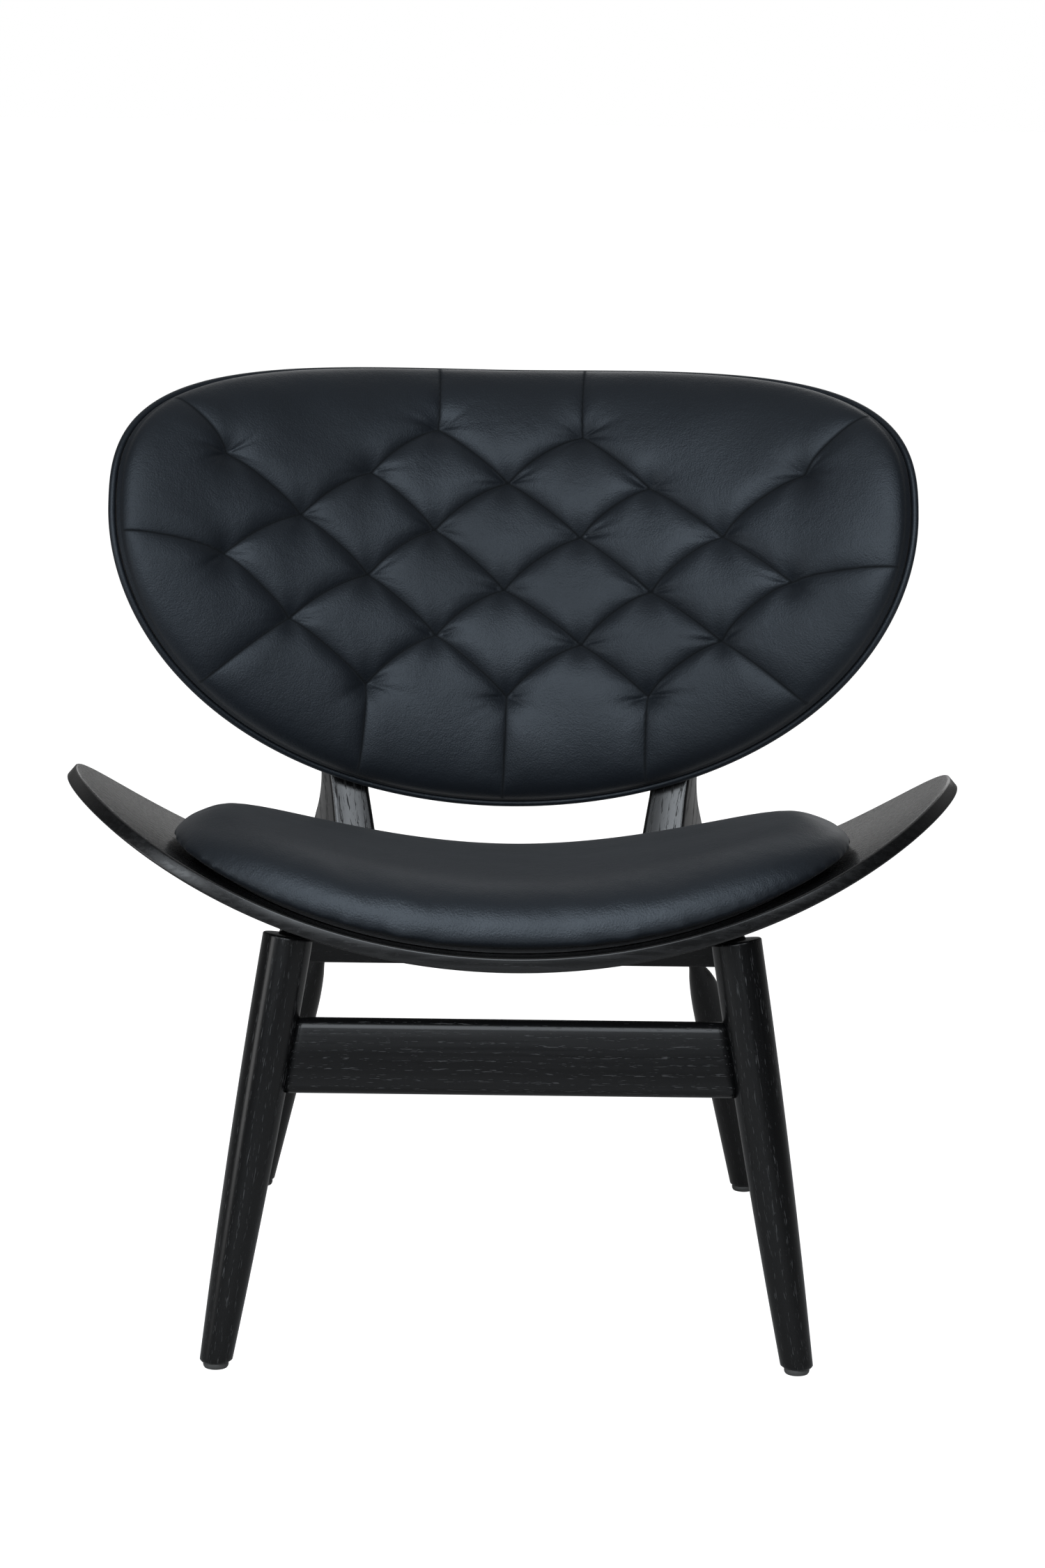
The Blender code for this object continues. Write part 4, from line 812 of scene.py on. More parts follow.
@dataclass
class TuftedBack:
    """The back: a tufted pad in front of bent plywood, a padded cover behind it and a welt round the edge."""

    tufted_leather: Material
    cover_leather: Material
    welt_leather: Material
    tufts: Tuple[Tuple[Tuple[int, float, float], ...], ...] = (
        ((-1, -0.080, 0.3705), (1, 0.073, 0.3645)),
        ((-4, -0.308, 0.3295), (-2, -0.152, 0.322), (0, -0.0055, 0.317), (2, 0.146, 0.310), (4, 0.312, 0.315)),
        ((-3, -0.227, 0.2745), (-1, -0.083, 0.2675), (1, 0.072, 0.262), (3, 0.2245, 0.258)),
        ((-4, -0.309, 0.229), (-2, -0.1535, 0.219), (0, -0.0085, 0.209), (2, 0.1475, 0.206), (4, 0.2985, 0.209)),
        ((-3, -0.2365, 0.171), (-1, -0.080, 0.162), (1, 0.0735, 0.1545), (3, 0.222, 0.155)),
        ((-2, -0.152, 0.1115), (0, -0.0045, 0.103), (2, 0.1435, 0.103)))
    seams: Tuple[Tuple[int, int, float, float], ...] = (
        (-1, 0, -0.0756, 0.4386), (1, 0, 0.0733, 0.4409), (-4, 1, -0.3624, 0.3878), (4, 1, 0.3770, 0.3735),
        (-4, 3, -0.4153, 0.2420), (4, 3, 0.4204, 0.2177), (-3, 4, -0.3221, 0.1028), (3, 4, 0.3118, 0.0856),
        (-2, 5, -0.1561, 0.0207), (0, 5, -0.0070, -0.0009), (2, 5, 0.1389, 0.0167))
    rim_inset: float = 0.0055
    rim_height: float = 0.010
    edge_height: float = 0.020
    crown: float = 0.034
    roll_power: float = 3.2
    cells: Tuple[int, int] = (540, 330)
    gather: float = 0.0018
    tuft_depth: float = 0.0130
    tuft_reach: float = 0.0170
    pillow_depth: float = 0.0074
    pillow_reach: float = 0.028
    pillow_power: float = 0.70
    tuft_power: float = 1.2
    join: float = 2.5
    blend: float = 3.0
    crease_shade_width: float = 0.0013
    bows: Pair = (0.0055, 0.0020)
    seam_bow: float = 0.003
    seam_dip: float = 0.85
    seam_fading: float = 0.40
    folds: int = 12
    fold_range: Tuple[Tuple[float, ...], Tuple[float, ...]] = ((-0.62, 0.09, 0.5, 0.016), (0.62, 0.17, 1.0, 0.034))
    fold_depth: float = 0.0014
    fold_start: float = 0.006
    ripple: float = 0.00035
    ripples: int = 14
    ripple_waves: Triple = (90.0, 70.0, 6.3)
    seed: int = 7
    knee: float = 0.8
    rim_band: float = 0.04
    full_rise: float = 0.5
    under_rings: Pairs = (
        (0.9985, 0.0075), (0.9985, 0.0045), (1.0020, 0.0020), (1.0020, 0.0010), (0.998, 0.0006), (0.9, 0.0006),
        (0.7, 0.0006), (0.45, 0.0006), (0.2, 0.0006))
    cover_rolled: Pairs = (
        (0.0, 0.0015), (0.0, 0.0035), (0.0006, 0.0058), (0.0022, 0.0077))
    cover_draw: float = 0.0050
    cover_cells: Tuple[int, int, int] = (300, 40, 60)
    cover_pole: float = 0.02
    piping_radius: float = 0.0036
    piping_back: float = 0.005
    piping_cells: Tuple[int, int] = (720, 20)

    def places(self) -> dict:
        """The tufts' places along the bend and up, by half column and row, as an upholsterer set them by hand."""
        return {(half, row): np.array([u, v]) for row, line in enumerate(self.tufts) for half, u, v in line}

    def rim(self, angle: Array) -> Tuple[Array, Array]:
        """The pad's own outline."""
        return BACK.edge(angle, self.rim_inset)

    def creases(self) -> list:
        """Each crease and seam.

        Returns:
            For each its two ends, its bow, and whether it runs to the rim.
        """
        places = self.places()
        lines = [(places[half, row], places[half + step, row + 1], self.bows[step > 0], False)
                 for half, row in places for step in (-1, 1) if (half + step, row + 1) in places]
        rim = np.stack(self.rim(circle(720)), axis=1)
        for half, row, end_u, end_v in self.seams:
            start = places[half, row]
            run = unit(np.array([end_u, end_v]) - start)
            bow = self.seam_bow if abs(half) > 2 else 0.0
            lines.append((start, rim[np.argmax(unit(rim - start) @ run)], bow, True))
        return lines

    def measure(self, u: Array, v: Array) -> Tuple[Array, Array, Array, Array, Array]:
        """Distances to the creases, each a line with a bow of 4 h s (1 - s) over its share s.

        Formula: the blended distance to all creases is d = (sum d_i^-k)^(-1/k), which rounds the pillows' corners.

        Args:
            u: places along the bend.
            v: places up.

        Returns:
            The nearest distance, the two parts of the move that would reach that crease, the blended distance to the
            creases between tufts, and how much of a dip the seams to the rim ask for.
        """
        nearest = np.full(u.shape, 9.0)
        move_u, move_v = np.zeros(u.shape), np.zeros(u.shape)
        crowd, seams = np.zeros(u.shape), np.zeros(u.shape)
        for start, end, bow, seam in self.creases():
            run = end - start
            length = float(np.linalg.norm(run))
            way = run / length
            side = np.array([-way[1], way[0]]) * (1 if way[0] >= 0 else -1)
            along = (u - start[0]) * way[0] + (v - start[1]) * way[1]
            share = np.clip(along / length, 0, 1)
            across = (u - start[0]) * side[0] + (v - start[1]) * side[1] - bow * 4 * share * (1 - share)
            distance = np.hypot(across, along - share * length)
            closer = distance < nearest
            nearest = np.where(closer, distance, nearest)
            move_u, move_v = np.where(closer, -across * side[0], move_u), np.where(closer, -across * side[1], move_v)
            if seam:
                dip = (1 - self.arch(distance)) * (self.seam_dip - self.seam_fading * share)
                seams = np.maximum(seams, dip)
            else:
                crowd += 1 / np.maximum(distance, 1e-5) ** self.blend
        return nearest, move_u, move_v, crowd ** (-1 / self.blend), seams

    def arch(self, distance: Array) -> Array:
        """A pillow's height as a share, 0 at a crease: (1 - (1 - d/D)^2)^q."""
        return np.clip(1 - (1 - np.clip(distance / self.pillow_reach, 0, 1)) ** 2, 0, 1) ** self.pillow_power

    def relief(self, u: Array, v: Array) -> Tuple[Array, Array]:
        """How deep the leather lies under the pad's full form.

        Formula: dip = pillow (1 - arch(d)), joined smoothly with tuft e^(-(r/t)^p), where d is the distance to the
        creases and r that to the nearest tuft.

        Args:
            u: places along the bend.
            v: places up.

        Returns:
            Dips, and nearness to a crease or seam, 1 on it, which the leather uses as the mask of its painted crease
            shade.
        """
        nearest, _, _, blended, seams = self.measure(u, v)
        tufts = np.array(list(self.places().values()))
        radius = np.min(np.hypot(u[..., None] - tufts[:, 0], v[..., None] - tufts[:, 1]), axis=-1)
        folds = ((1 - self.arch(blended)) ** 3 + seams ** 3) ** (1 / 3)
        button = self.tuft_depth * np.exp(-(radius / self.tuft_reach) ** self.tuft_power)
        dip = ((self.pillow_depth * folds) ** self.join + button ** self.join) ** (1 / self.join)
        return dip, np.exp(-(nearest / self.crease_shade_width) ** 2)

    def wrinkles(self, u: Array, v: Array) -> Array:
        """Folds that run out from each tuft: ridges e^(-(da/w)^2) round its angle, swelling and fading with distance.

        Args:
            u: places along the bend.
            v: places up.

        Returns:
            Heights to take off.
        """
        rng = np.random.default_rng(self.seed)
        total = np.zeros(u.shape)
        for at in self.places().values():
            du, dv = u - at[0], v - at[1]
            radius, angle = np.hypot(du, dv), np.arctan2(dv, du)
            for number in range(self.folds):
                way, width, size, reach = rng.uniform(*self.fold_range)
                turn = (angle - way + math.pi * (number % 2) + math.pi) % (2 * math.pi) - math.pi
                weight = np.clip(radius / self.fold_start, 0, 1) * np.exp(-(radius / reach) ** 2)
                total += self.fold_depth * size * np.exp(-(turn / width) ** 2) * weight
        wave_u, wave_v, wave_phase = self.ripple_waves
        for across, up, phase, size in rng.uniform(-1, 1, (self.ripples, 4)):
            total += self.ripple * size * np.sin(wave_u * across * u + wave_v * up * v + wave_phase * phase)
        return total

    def front(self) -> Tuple[Array, Array, Array, Array]:
        """The tufted face as a grid: a square carried smoothly onto the outline, then raised and pulled in.

        Formula: (x, y) = (a sqrt(1 - b^2/2), b sqrt(1 - a^2/2)) is a disc, its radius tau is eased to rho near the
        rim, points close to a crease are gathered onto it by e^(-(d/g)^2) of their distance, and
        forward = rim + (edge - rim + crown) sqrt(1 - rho^power) - dip.

        Returns:
            Places along the bend, up and forward, and nearness to a crease, each of shape (rows, columns).
        """
        a, b = np.meshgrid(np.linspace(-1, 1, self.cells[0] + 1), np.linspace(-1, 1, self.cells[1] + 1))
        x, y = a * np.sqrt(1 - b * b / 2), b * np.sqrt(1 - a * a / 2)
        tau, angle = np.clip(np.hypot(x, y), 0, 1), np.arctan2(y, x)
        gain = 2 / (1 + self.knee)
        rho = np.where(tau < self.knee, gain * tau, 1 - gain / (2 * (1 - self.knee)) * (1 - tau) ** 2)
        edge_u, edge_v = self.rim(angle)
        u, v = edge_u * rho, BACK.lower + (edge_v - BACK.lower) * rho
        nearest, move_u, move_v, _, _ = self.measure(u, v)
        pull = np.exp(-(nearest / self.gather) ** 2) * np.clip((1 - rho) / self.rim_band, 0, 1)
        u, v = u + move_u * pull, v + move_v * pull
        rise = np.sqrt(np.clip(1 - rho ** self.roll_power, 0, 1))
        dip, line = self.relief(u, v)
        forward = self.rim_height + (self.edge_height - self.rim_height + self.crown) * rise
        forward = forward - (dip + self.wrinkles(u, v)) * np.clip(rise / self.full_rise, 0, 1)
        return u, v, forward, line

    def pad(self) -> None:
        """The tufted pad, closed behind."""
        u, v, forward, line = self.front()
        index = np.arange(u.size).reshape(u.shape)
        loop = np.concatenate([index[0, :-1], index[:-1, -1], index[-1, :0:-1], index[:0:-1, 0]])
        loop_u, loop_v = u.ravel()[loop], v.ravel()[loop] - BACK.lower
        rings = np.array([BACK.point(loop_u * share, loop_v * share + BACK.lower, height)
                          for share, height in self.under_rings])
        middle = BACK.point(0.0, BACK.lower, self.under_rings[-1][1])
        points = np.concatenate([BACK.point(u, v, forward).reshape(-1, 3), rings.reshape(-1, 3), middle[None]])
        numbers = np.concatenate([loop, u.size + np.arange(rings.size // 3)]).reshape(-1, len(loop))
        last = numbers[-1].tolist()
        fan = [[here, there, len(points) - 1] for here, there in zip(last, last[1:] + last[:1])]
        faces = quads_between(index, ring=False) + quads_between(numbers) + fan
        piece = make_object("back_pad_tufted", points, faces, self.tufted_leather)
        # The crease attribute is the mask of the painted shade that darkens the leather along the creases.
        layer = piece.data.attributes.new("crease", "FLOAT", "POINT")
        layer.data.foreach_set("value", np.pad(line.ravel(), (0, len(points) - line.size)).astype(np.float32))
        dress(piece, ["back_pad"])

    def cover(self) -> None:
        """The rear cover: a thin padded skin of rings."""
        around, under, over = self.cover_cells
        angle = circle(around)
        inset = 2 * self.piping_radius + 2 * BENT_GAP
        near, far, drawn_in = -COVER_FRONT, -COVER_REAR, inset + self.cover_draw
        rows = [(share, inset + 0.001, near) for share in np.linspace(self.cover_pole, 1, under)]
        rows += [(1, inset + drawn, near - behind) for drawn, behind in self.cover_rolled]
        rows += [(1, drawn_in, far + 0.0001)]
        rows += [(share, drawn_in, far) for share in np.linspace(1, self.cover_pole, over)[1:]]
        rings = []
        for share, drawn, height in rows:
            edge_u, edge_v = BACK.edge(angle, drawn)
            rings.append(BACK.point(edge_u * share, BACK.lower + (edge_v - BACK.lower) * share, height))
        piece = make_object("back_cover_leather", *close_rings(np.array(rings)), self.cover_leather)
        dress(piece, ["back_cover"])

    def piping(self) -> None:
        """The welt: a circle of radius r carried round the back's outline, p = c + r (cos a n + sin a b)."""
        count, around = self.piping_cells
        u, v = BACK.edge(circle(count), self.piping_radius)
        centre, behind = BACK.point(u, v, -self.piping_back), BACK.behind(u)
        out = unit(np.cross(unit(np.roll(centre, -1, axis=0) - np.roll(centre, 1, axis=0)), behind))
        turn = circle(around)[None, :, None]
        rings = centre[:, None] + self.piping_radius * (np.cos(turn) * out[:, None] + np.sin(turn) * behind[:, None])
        faces = quads_between(np.arange(count * around).reshape(count, around), closed=True)
        piece = make_object("back_welt", rings.reshape(-1, 3), faces, self.welt_leather)
        dress(piece, ["back_piping"])


# The frame


@dataclass
class Frame:
    """Legs, stretcher, rails and uprights, all of black-stained ash."""

    finish: Material
    post_finish: Material
    nylon: Material
    front_top: Triple = (0.2000, -0.1900 + CENTRE_SHIFT, 0.3850)
    front_foot: Pair = (0.2616, -0.2440 + CENTRE_SHIFT)
    front_radii: Pairs = (
        (0.0, 0.0226), (0.2, 0.02227), (0.4, 0.02127), (0.6, 0.01961), (0.8, 0.01729), (1.0, 0.0143))
    rear_top: Triple = (0.187, 0.214 + CENTRE_SHIFT, 0.2685)
    rear_foot: Pair = (0.250, 0.335 + CENTRE_SHIFT)
    rear_radii: Pairs = (
        (0.0, 0.0072), (0.015, 0.0073), (0.035, 0.0085), (0.07, 0.0113), (0.11, 0.0136), (0.16, 0.0155),
        (0.22, 0.0165), (0.35, 0.0165), (0.6, 0.0152), (1.0, 0.0130))
    floor_level: float = 0.0063
    foot_chamfer: float = 0.0012
    leg_around: int = 96
    leg_neck: float = 0.12
    leg_cells: Tuple[int, int] = (30, 90)
    leg_edge: float = 0.002
    glide_height: float = 0.0060
    glide_profile: Pairs = (
        (0.0107, 0.0), (0.0115, 0.0006), (0.0115, 0.0033), (0.011155, 0.0048), (0.01035, 0.0060))
    stretcher_bottom: float = 0.2450
    stretcher_height: float = 0.0675
    stretcher_thickness: float = 0.024
    stretcher_round: float = 0.0085
    stretcher_end: float = 0.007
    stretcher_end_share: float = 0.9
    stretcher_bite: float = 1.02
    stretcher_middle: float = 0.006
    stretcher_hollow: float = 0.011
    rail_front: float = 0.190 + CENTRE_SHIFT
    rail_rear: float = 0.230 + CENTRE_SHIFT
    rail_bottom: float = 0.2685
    rail_half: float = 0.2095
    rail_round: float = 0.003
    standoff: float = 0.006
    post_u: float = 0.1655
    post_v: float = 0.100
    post_spread: float = math.radians(8.0)
    post_width: float = 0.0385
    post_widening: float = 0.0026
    shoulder_z: float = 0.3445
    post_foot: float = 0.272
    post_top: float = 0.695
    post_top_depth: float = 0.022
    post_foot_depth: float = 0.036
    flare_depth: float = 0.062
    flare_z: float = 0.384
    flare_length: float = 0.044
    post_round: float = 0.0045
    post_tip_round: float = 0.007
    post_least_round: float = 0.0012
    post_level_z: float = 0.45
    post_level_length: float = 0.10
    post_wide_z: float = 0.42
    post_wide_length: float = 0.07
    bolt_heads: Tuple[Tuple[Triple, Triple], ...] = (
        ((0.17288, 0.21385, 0.48731), (0.25944, 0.90752, -0.33031)),
        ((0.19305, 0.25446, 0.63107), (0.29190, 0.89877, -0.32712)),
        ((0.1531, 0.1932, 0.286), (0.0, 1.0, 0.0)), ((0.1547, 0.1961, 0.312), (0.0, 1.0, 0.0)))
    bolt_head_height: float = 0.0036
    bore_radius: float = 0.008
    bore_reach: float = 0.020
    sharp_angle: float = math.radians(40)

    def axis(self, side: Side, top: Sequence[float], foot: Sequence[float]) -> Tuple[Array, Array]:
        """Top and foot of a leg's axis on one side."""
        return np.array([side.value * top[0], *top[1:]]), np.array([side.value * foot[0], foot[1], 0.0])

    def leg(self, name: str, node: str, top: Array, foot: Array, radii: Sequence[Sequence[float]],
            edge: float, sway: bool = False) -> None:
        """A turned leg with a level foot.

        Formula: at angle a the side runs from the top to where it meets the foot's level, and the radius follows a
        smooth profile of the share of the way down.

        Args:
            name: the piece's name.
            node: the CAD node that it stands for.
            top: the axis's upper end.
            foot: the axis's end on the floor.
            radii: pairs of share and radius.
            edge: rounding of the top's edge.
            sway: whether the rings move outwards, so that the inner side runs straight.
        """
        axis, first, second = axis_frame(top, foot)
        length = float(np.linalg.norm(foot - top))
        curve = smooth_through(radii, 24)
        angle = circle(self.leg_around)
        spoke = np.cos(angle)[:, None] * first + np.sin(angle)[:, None] * second
        end = (self.floor_level - top[2] - radii[-1][1] * spoke[:, 2]) / axis[2]
        neck, fine, coarse = self.leg_neck, *self.leg_cells
        shares = np.concatenate([np.linspace(0, neck, fine, endpoint=False), np.linspace(neck, 1, coarse)])
        distance = shares[:, None] * end
        if edge:
            distance = np.maximum(distance, edge)[1:]
        radius = np.interp(distance / length, *curve.T)
        if edge:
            turn = quarter(6)[:-1, None] + 0 * end
            distance = np.concatenate([edge * (1 - np.cos(turn)), distance])
            radius = np.concatenate([radii[0][1] - edge + edge * np.sin(turn), radius])
        distance = np.concatenate([distance[:-1], distance[-1:] - self.foot_chamfer, distance[-1:]])
        radius = np.concatenate([radius, radius[-1:] - self.foot_chamfer])
        rings = top + distance[..., None] * axis + radius[..., None] * spoke
        if sway:
            share = distance / length
            straight = radii[0][1] + (radii[-1][1] - radii[0][1]) * share
            splay = np.array([foot[0] - top[0], foot[1] - top[1], 0.0])
            splay = unit(splay - axis * (splay @ axis))
            rings = rings + (np.interp(share, *curve.T) - straight)[..., None] * splay
            rings[-1, :, 2] = self.floor_level
        points, faces = close_rings(rings)
        grain = (points - top) @ np.stack([axis, first, second], axis=1) + np.array([top[0] * 3, 0, 0])
        dress(make_object(name, points, faces, self.finish, grain), [node])

    def legs(self) -> None:
        """Builds the four legs."""
        for side in Side:
            self.leg(f"front_leg_turned_{side.word}", f"front_leg_{side.word}",
                     *self.axis(side, self.front_top, self.front_foot), self.front_radii, self.leg_edge)
            self.leg(f"rear_leg_turned_{side.word}", f"rear_leg_{side.word}",
                     *self.axis(side, self.rear_top, self.rear_foot), self.rear_radii, 0.0, True)

    def glides(self) -> None:
        """A turned glide with a rounded sole under each leg."""
        for node in (f"glide_{end}_{side.word}" for end in ("front", "rear") for side in Side):
            low, high = (np.array(corner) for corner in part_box(node))
            x, y = (low + high)[:2] / 2
            rings = turned_rings(np.array(self.glide_profile), 48, (x, y, self.glide_height), (x, y, 0.0))
            dress(make_object(f"{node}_sole", *close_rings(rings), self.nylon), [node])

    def stretcher(self) -> None:
        """The board between the front legs: a rounded section, each end hollowed to its leg's round side.

        Formula: x = share (leg axis at that height - sqrt(r^2 - t^2)), with t the distance from the board's middle.
        """
        top, foot = self.axis(Side.RIGHT, self.front_top, self.front_foot)
        lean = unit(top - foot)
        up = unit(np.array([0.0, lean[1], lean[2]]))
        ahead = np.cross(up, (1.0, 0.0, 0.0))
        middle_z = self.stretcher_bottom + self.stretcher_height / 2
        middle = top + (foot - top) * ((top[2] - middle_z) / top[2])
        height, thick = rounded_section(self.stretcher_height / 2, -self.stretcher_thickness / 2,
                                        self.stretcher_thickness / 2, self.stretcher_round, 8)
        line = middle + height[:, None] * up + thick[:, None] * ahead
        share = (top[2] - line[:, 2]) / top[2]
        axis_x = top[0] + (foot[0] - top[0]) * share
        radius = np.interp(share, *np.array(self.front_radii).T) + TOUCH_GAP
        hollow = np.clip(thick, -self.stretcher_hollow, self.stretcher_hollow)
        reach = axis_x - np.sqrt(radius ** 2 - hollow ** 2) * self.stretcher_bite
        rings = []
        for value in np.sin(np.linspace(-math.pi / 2, math.pi / 2, 90)):
            gap = np.clip(1 - (1 - abs(value)) * reach / self.stretcher_end, 0, 1)
            drawn = self.stretcher_end * (1 - np.sqrt(1 - gap ** 2)) * np.sign(-thick) * self.stretcher_end_share
            at = line + (drawn * (np.abs(thick) > self.stretcher_middle))[:, None] * ahead
            rings.append(np.stack([value * reach, at[:, 1], at[:, 2]], axis=1))
        points, faces = close_rings(np.array(rings))
        dress(make_object("front_stretcher_rounded", points, faces, self.finish, points[:, [0, 2, 1]]),
              ["front_stretcher"])

    def rear_rail(self) -> None:
        """The rail under the seat's rear: straight below, bent above to follow the shell."""
        r = self.rail_round
        turn = quarter(5)
        steps = [(-self.rail_half + r - r * math.cos(a), r - r * math.sin(a)) for a in turn]
        steps += [(x, 0.0) for x in np.linspace(-self.rail_half + r, self.rail_half - r, 60)[1:-1]]
        steps += [(self.rail_half - r + r * math.sin(a), r - r * math.cos(a)) for a in turn]
        half, middle_y = (self.rail_rear - self.rail_front) / 2, (self.rail_rear + self.rail_front) / 2
        rings = []
        for x, inset in steps:
            under = SEAT.point(x, self.rail_rear, -PLY)[2] - self.standoff
            across, depth = rounded_section(half - inset, self.rail_bottom + inset, under - inset,
                                            max(r - inset, 0.0006), 5)
            rings.append(np.stack([np.full(across.shape, x), across + middle_y, depth], axis=1))
        points, faces = close_rings(np.array(rings))
        dress(make_object("rear_rail_shaped", points, faces, self.finish, points[:, [0, 2, 1]]),
              ["rear_rail"])

    def post_axes(self, side: Side) -> Tuple[Array, Array, Array, Array]:
        """An upright's own origin and axes.

        Args:
            side: left or right.

        Returns:
            The origin, and the directions behind, up the post and across it.
        """
        u = side.value * self.post_u
        behind = BACK.behind(np.array(u))
        across = np.cross(behind, BACK.up)
        angle = side.value * self.post_spread
        rise = BACK.up * math.cos(angle) + across * math.sin(angle)
        over = np.cross(behind, rise)
        return BACK.point(np.array(u), np.array(self.post_v), np.array(-COVER_REAR)), behind, rise, over

    def post(self, side: Side) -> None:
        """An upright: rings that are level at its foot and square to it at its top.

        Formula: the front follows the cover's slope down to a shoulder over the rail and the rail's face below it,
        and the rear lies behind the further back of the two by a taper plus a bell at the seat's height.

        Args:
            side: left or right.
        """
        origin, behind, rise, over = self.post_axes(side)
        z = np.sort(np.concatenate([
            np.linspace(self.post_foot, self.post_level_z, 60),
            np.linspace(self.post_level_z, self.post_top, 30)[1:],
            self.shoulder_z + np.array([-0.0004, 0.0, 0.0004])]))
        lean = origin[1] + (z - origin[2]) * rise[1] / rise[2]
        share = (z - self.post_foot) / (self.post_top - self.post_foot)
        depth = self.post_foot_depth + (self.post_top_depth - self.post_foot_depth) * share
        depth = depth + self.flare_depth * np.exp(-((z - self.flare_z) / self.flare_length) ** 2)
        back_y = np.maximum(lean, self.rail_rear)
        front_y = np.where(z > self.shoulder_z, lean, back_y)
        scale = behind[1] * rise[2] - behind[2] * rise[1]

        def middle(y: Array) -> Tuple[Array, Array]:
            """Distances behind and up the post of places (y, z) in its middle plane."""
            out, up = y - origin[1], z - origin[2]
            return (out * rise[2] - up * rise[1]) / scale, (up * behind[1] - out * behind[2]) / scale

        front_b, front_t = middle(front_y + TOUCH_GAP)
        rear_b, rear_t = middle(back_y + depth)
        level = np.clip((self.post_level_z - z) / self.post_level_length, 0, 1) ** 2
        wide = self.post_widening * np.clip((self.post_wide_z - z) / self.post_wide_length, 0, 1)
        tip, r = quarter(7)[1:], self.post_tip_round
        grow = np.concatenate([np.zeros(len(z)), r * np.sin(tip)])
        inset = np.concatenate([np.zeros(len(z)), r * (1 - np.cos(tip))])
        pick = np.concatenate([np.arange(len(z)), np.full(len(tip), len(z) - 1)])
        loops = []
        for number, up, drawn in zip(pick, grow, inset):
            deep_b, deep_t = rear_b[number] - front_b[number], rear_t[number] - front_t[number]
            deep = math.hypot(deep_b, deep_t)
            across, along = rounded_section(self.post_width / 2 - drawn + wide[number], drawn, deep - drawn,
                                            max(self.post_round - drawn * 0.4, self.post_least_round), 6)
            b = front_b[number] + deep_b * along / deep
            t_flat = 0.5 * (front_t[number] + rear_t[number])
            t_level = front_t[number] + deep_t * along / deep - over[2] * across / rise[2]
            t = t_flat + (t_level - t_flat) * level[number] + up
            loops.append(origin + b[:, None] * behind + t[:, None] * rise + across[:, None] * over)
        rings = np.array(loops)
        short = np.clip(self.rail_rear + TOUCH_GAP - rings[..., 1], 0, None) * (rings[..., 2] < self.shoulder_z)
        points, faces = close_rings(rings + (short / behind[1])[..., None] * behind)
        local = np.stack([rise, over, behind], axis=1)
        piece = make_object(f"upright_shaped_{side.word}", points, faces, self.post_finish)
        self.bore(piece, side)
        set_grain(piece.data, (places_of(piece.data) - origin) @ local)
        dress(piece, [f"upright_{side.word}"])

    def bore(self, piece: Object, side: Side) -> None:
        """Sinks the bolt heads of an upright into round counterbores.

        Formula: each cutter is a cylinder of the counterbore's radius about the bolt's axis, from the head's seat
        outwards.

        Args:
            piece: the upright, whose mesh is replaced by the bored one.
            side: left or right.
        """
        angle = circle(48)[:, None]
        mirror = np.array([side.value, 1.0, 1.0])
        all_points, all_faces = np.zeros((0, 3)), []
        for end, axis in self.bolt_heads:
            axis = unit(mirror * axis)
            first = unit(np.cross(axis, (1.0, 0.0, 0.0)))
            spoke = np.cos(angle) * first + np.sin(angle) * np.cross(axis, first)
            seat = mirror * end - self.bolt_head_height * axis
            points, faces = close_rings(seat + self.bore_radius * spoke
                                        + np.array([0.0, self.bore_reach])[:, None, None] * axis)
            all_faces += [[number + len(all_points) for number in face] for face in faces]
            all_points = np.concatenate([all_points, points])
        cutter = make_object(f"{piece.name}_cutter", all_points, all_faces, piece.data.materials[0])
        cut = piece.modifiers.new("counterbores", "BOOLEAN")
        cut.operation, cut.solver, cut.object = "DIFFERENCE", "EXACT", cutter
        mesh = bpy.data.meshes.new_from_object(piece.evaluated_get(bpy.context.evaluated_depsgraph_get()))
        piece.modifiers.clear()
        piece.data = mesh
        bpy.data.objects.remove(cutter)
        mesh.set_sharp_from_angle(angle=self.sharp_angle)


# Kept nodes, studio and camera


def dress_nodes(finishes: dict) -> None:
    """Gives each CAD node that stays a finish of its own.

    Args:
        finishes: materials by the start of the node's name.
    """
    for name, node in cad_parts.items():
        for start, material in finishes.items():
            if name.startswith(start):
                node.data.materials.clear()
                node.data.materials.append(material)
                log.info("%s keeps its solid, finished with %s", name, material.name)
                break


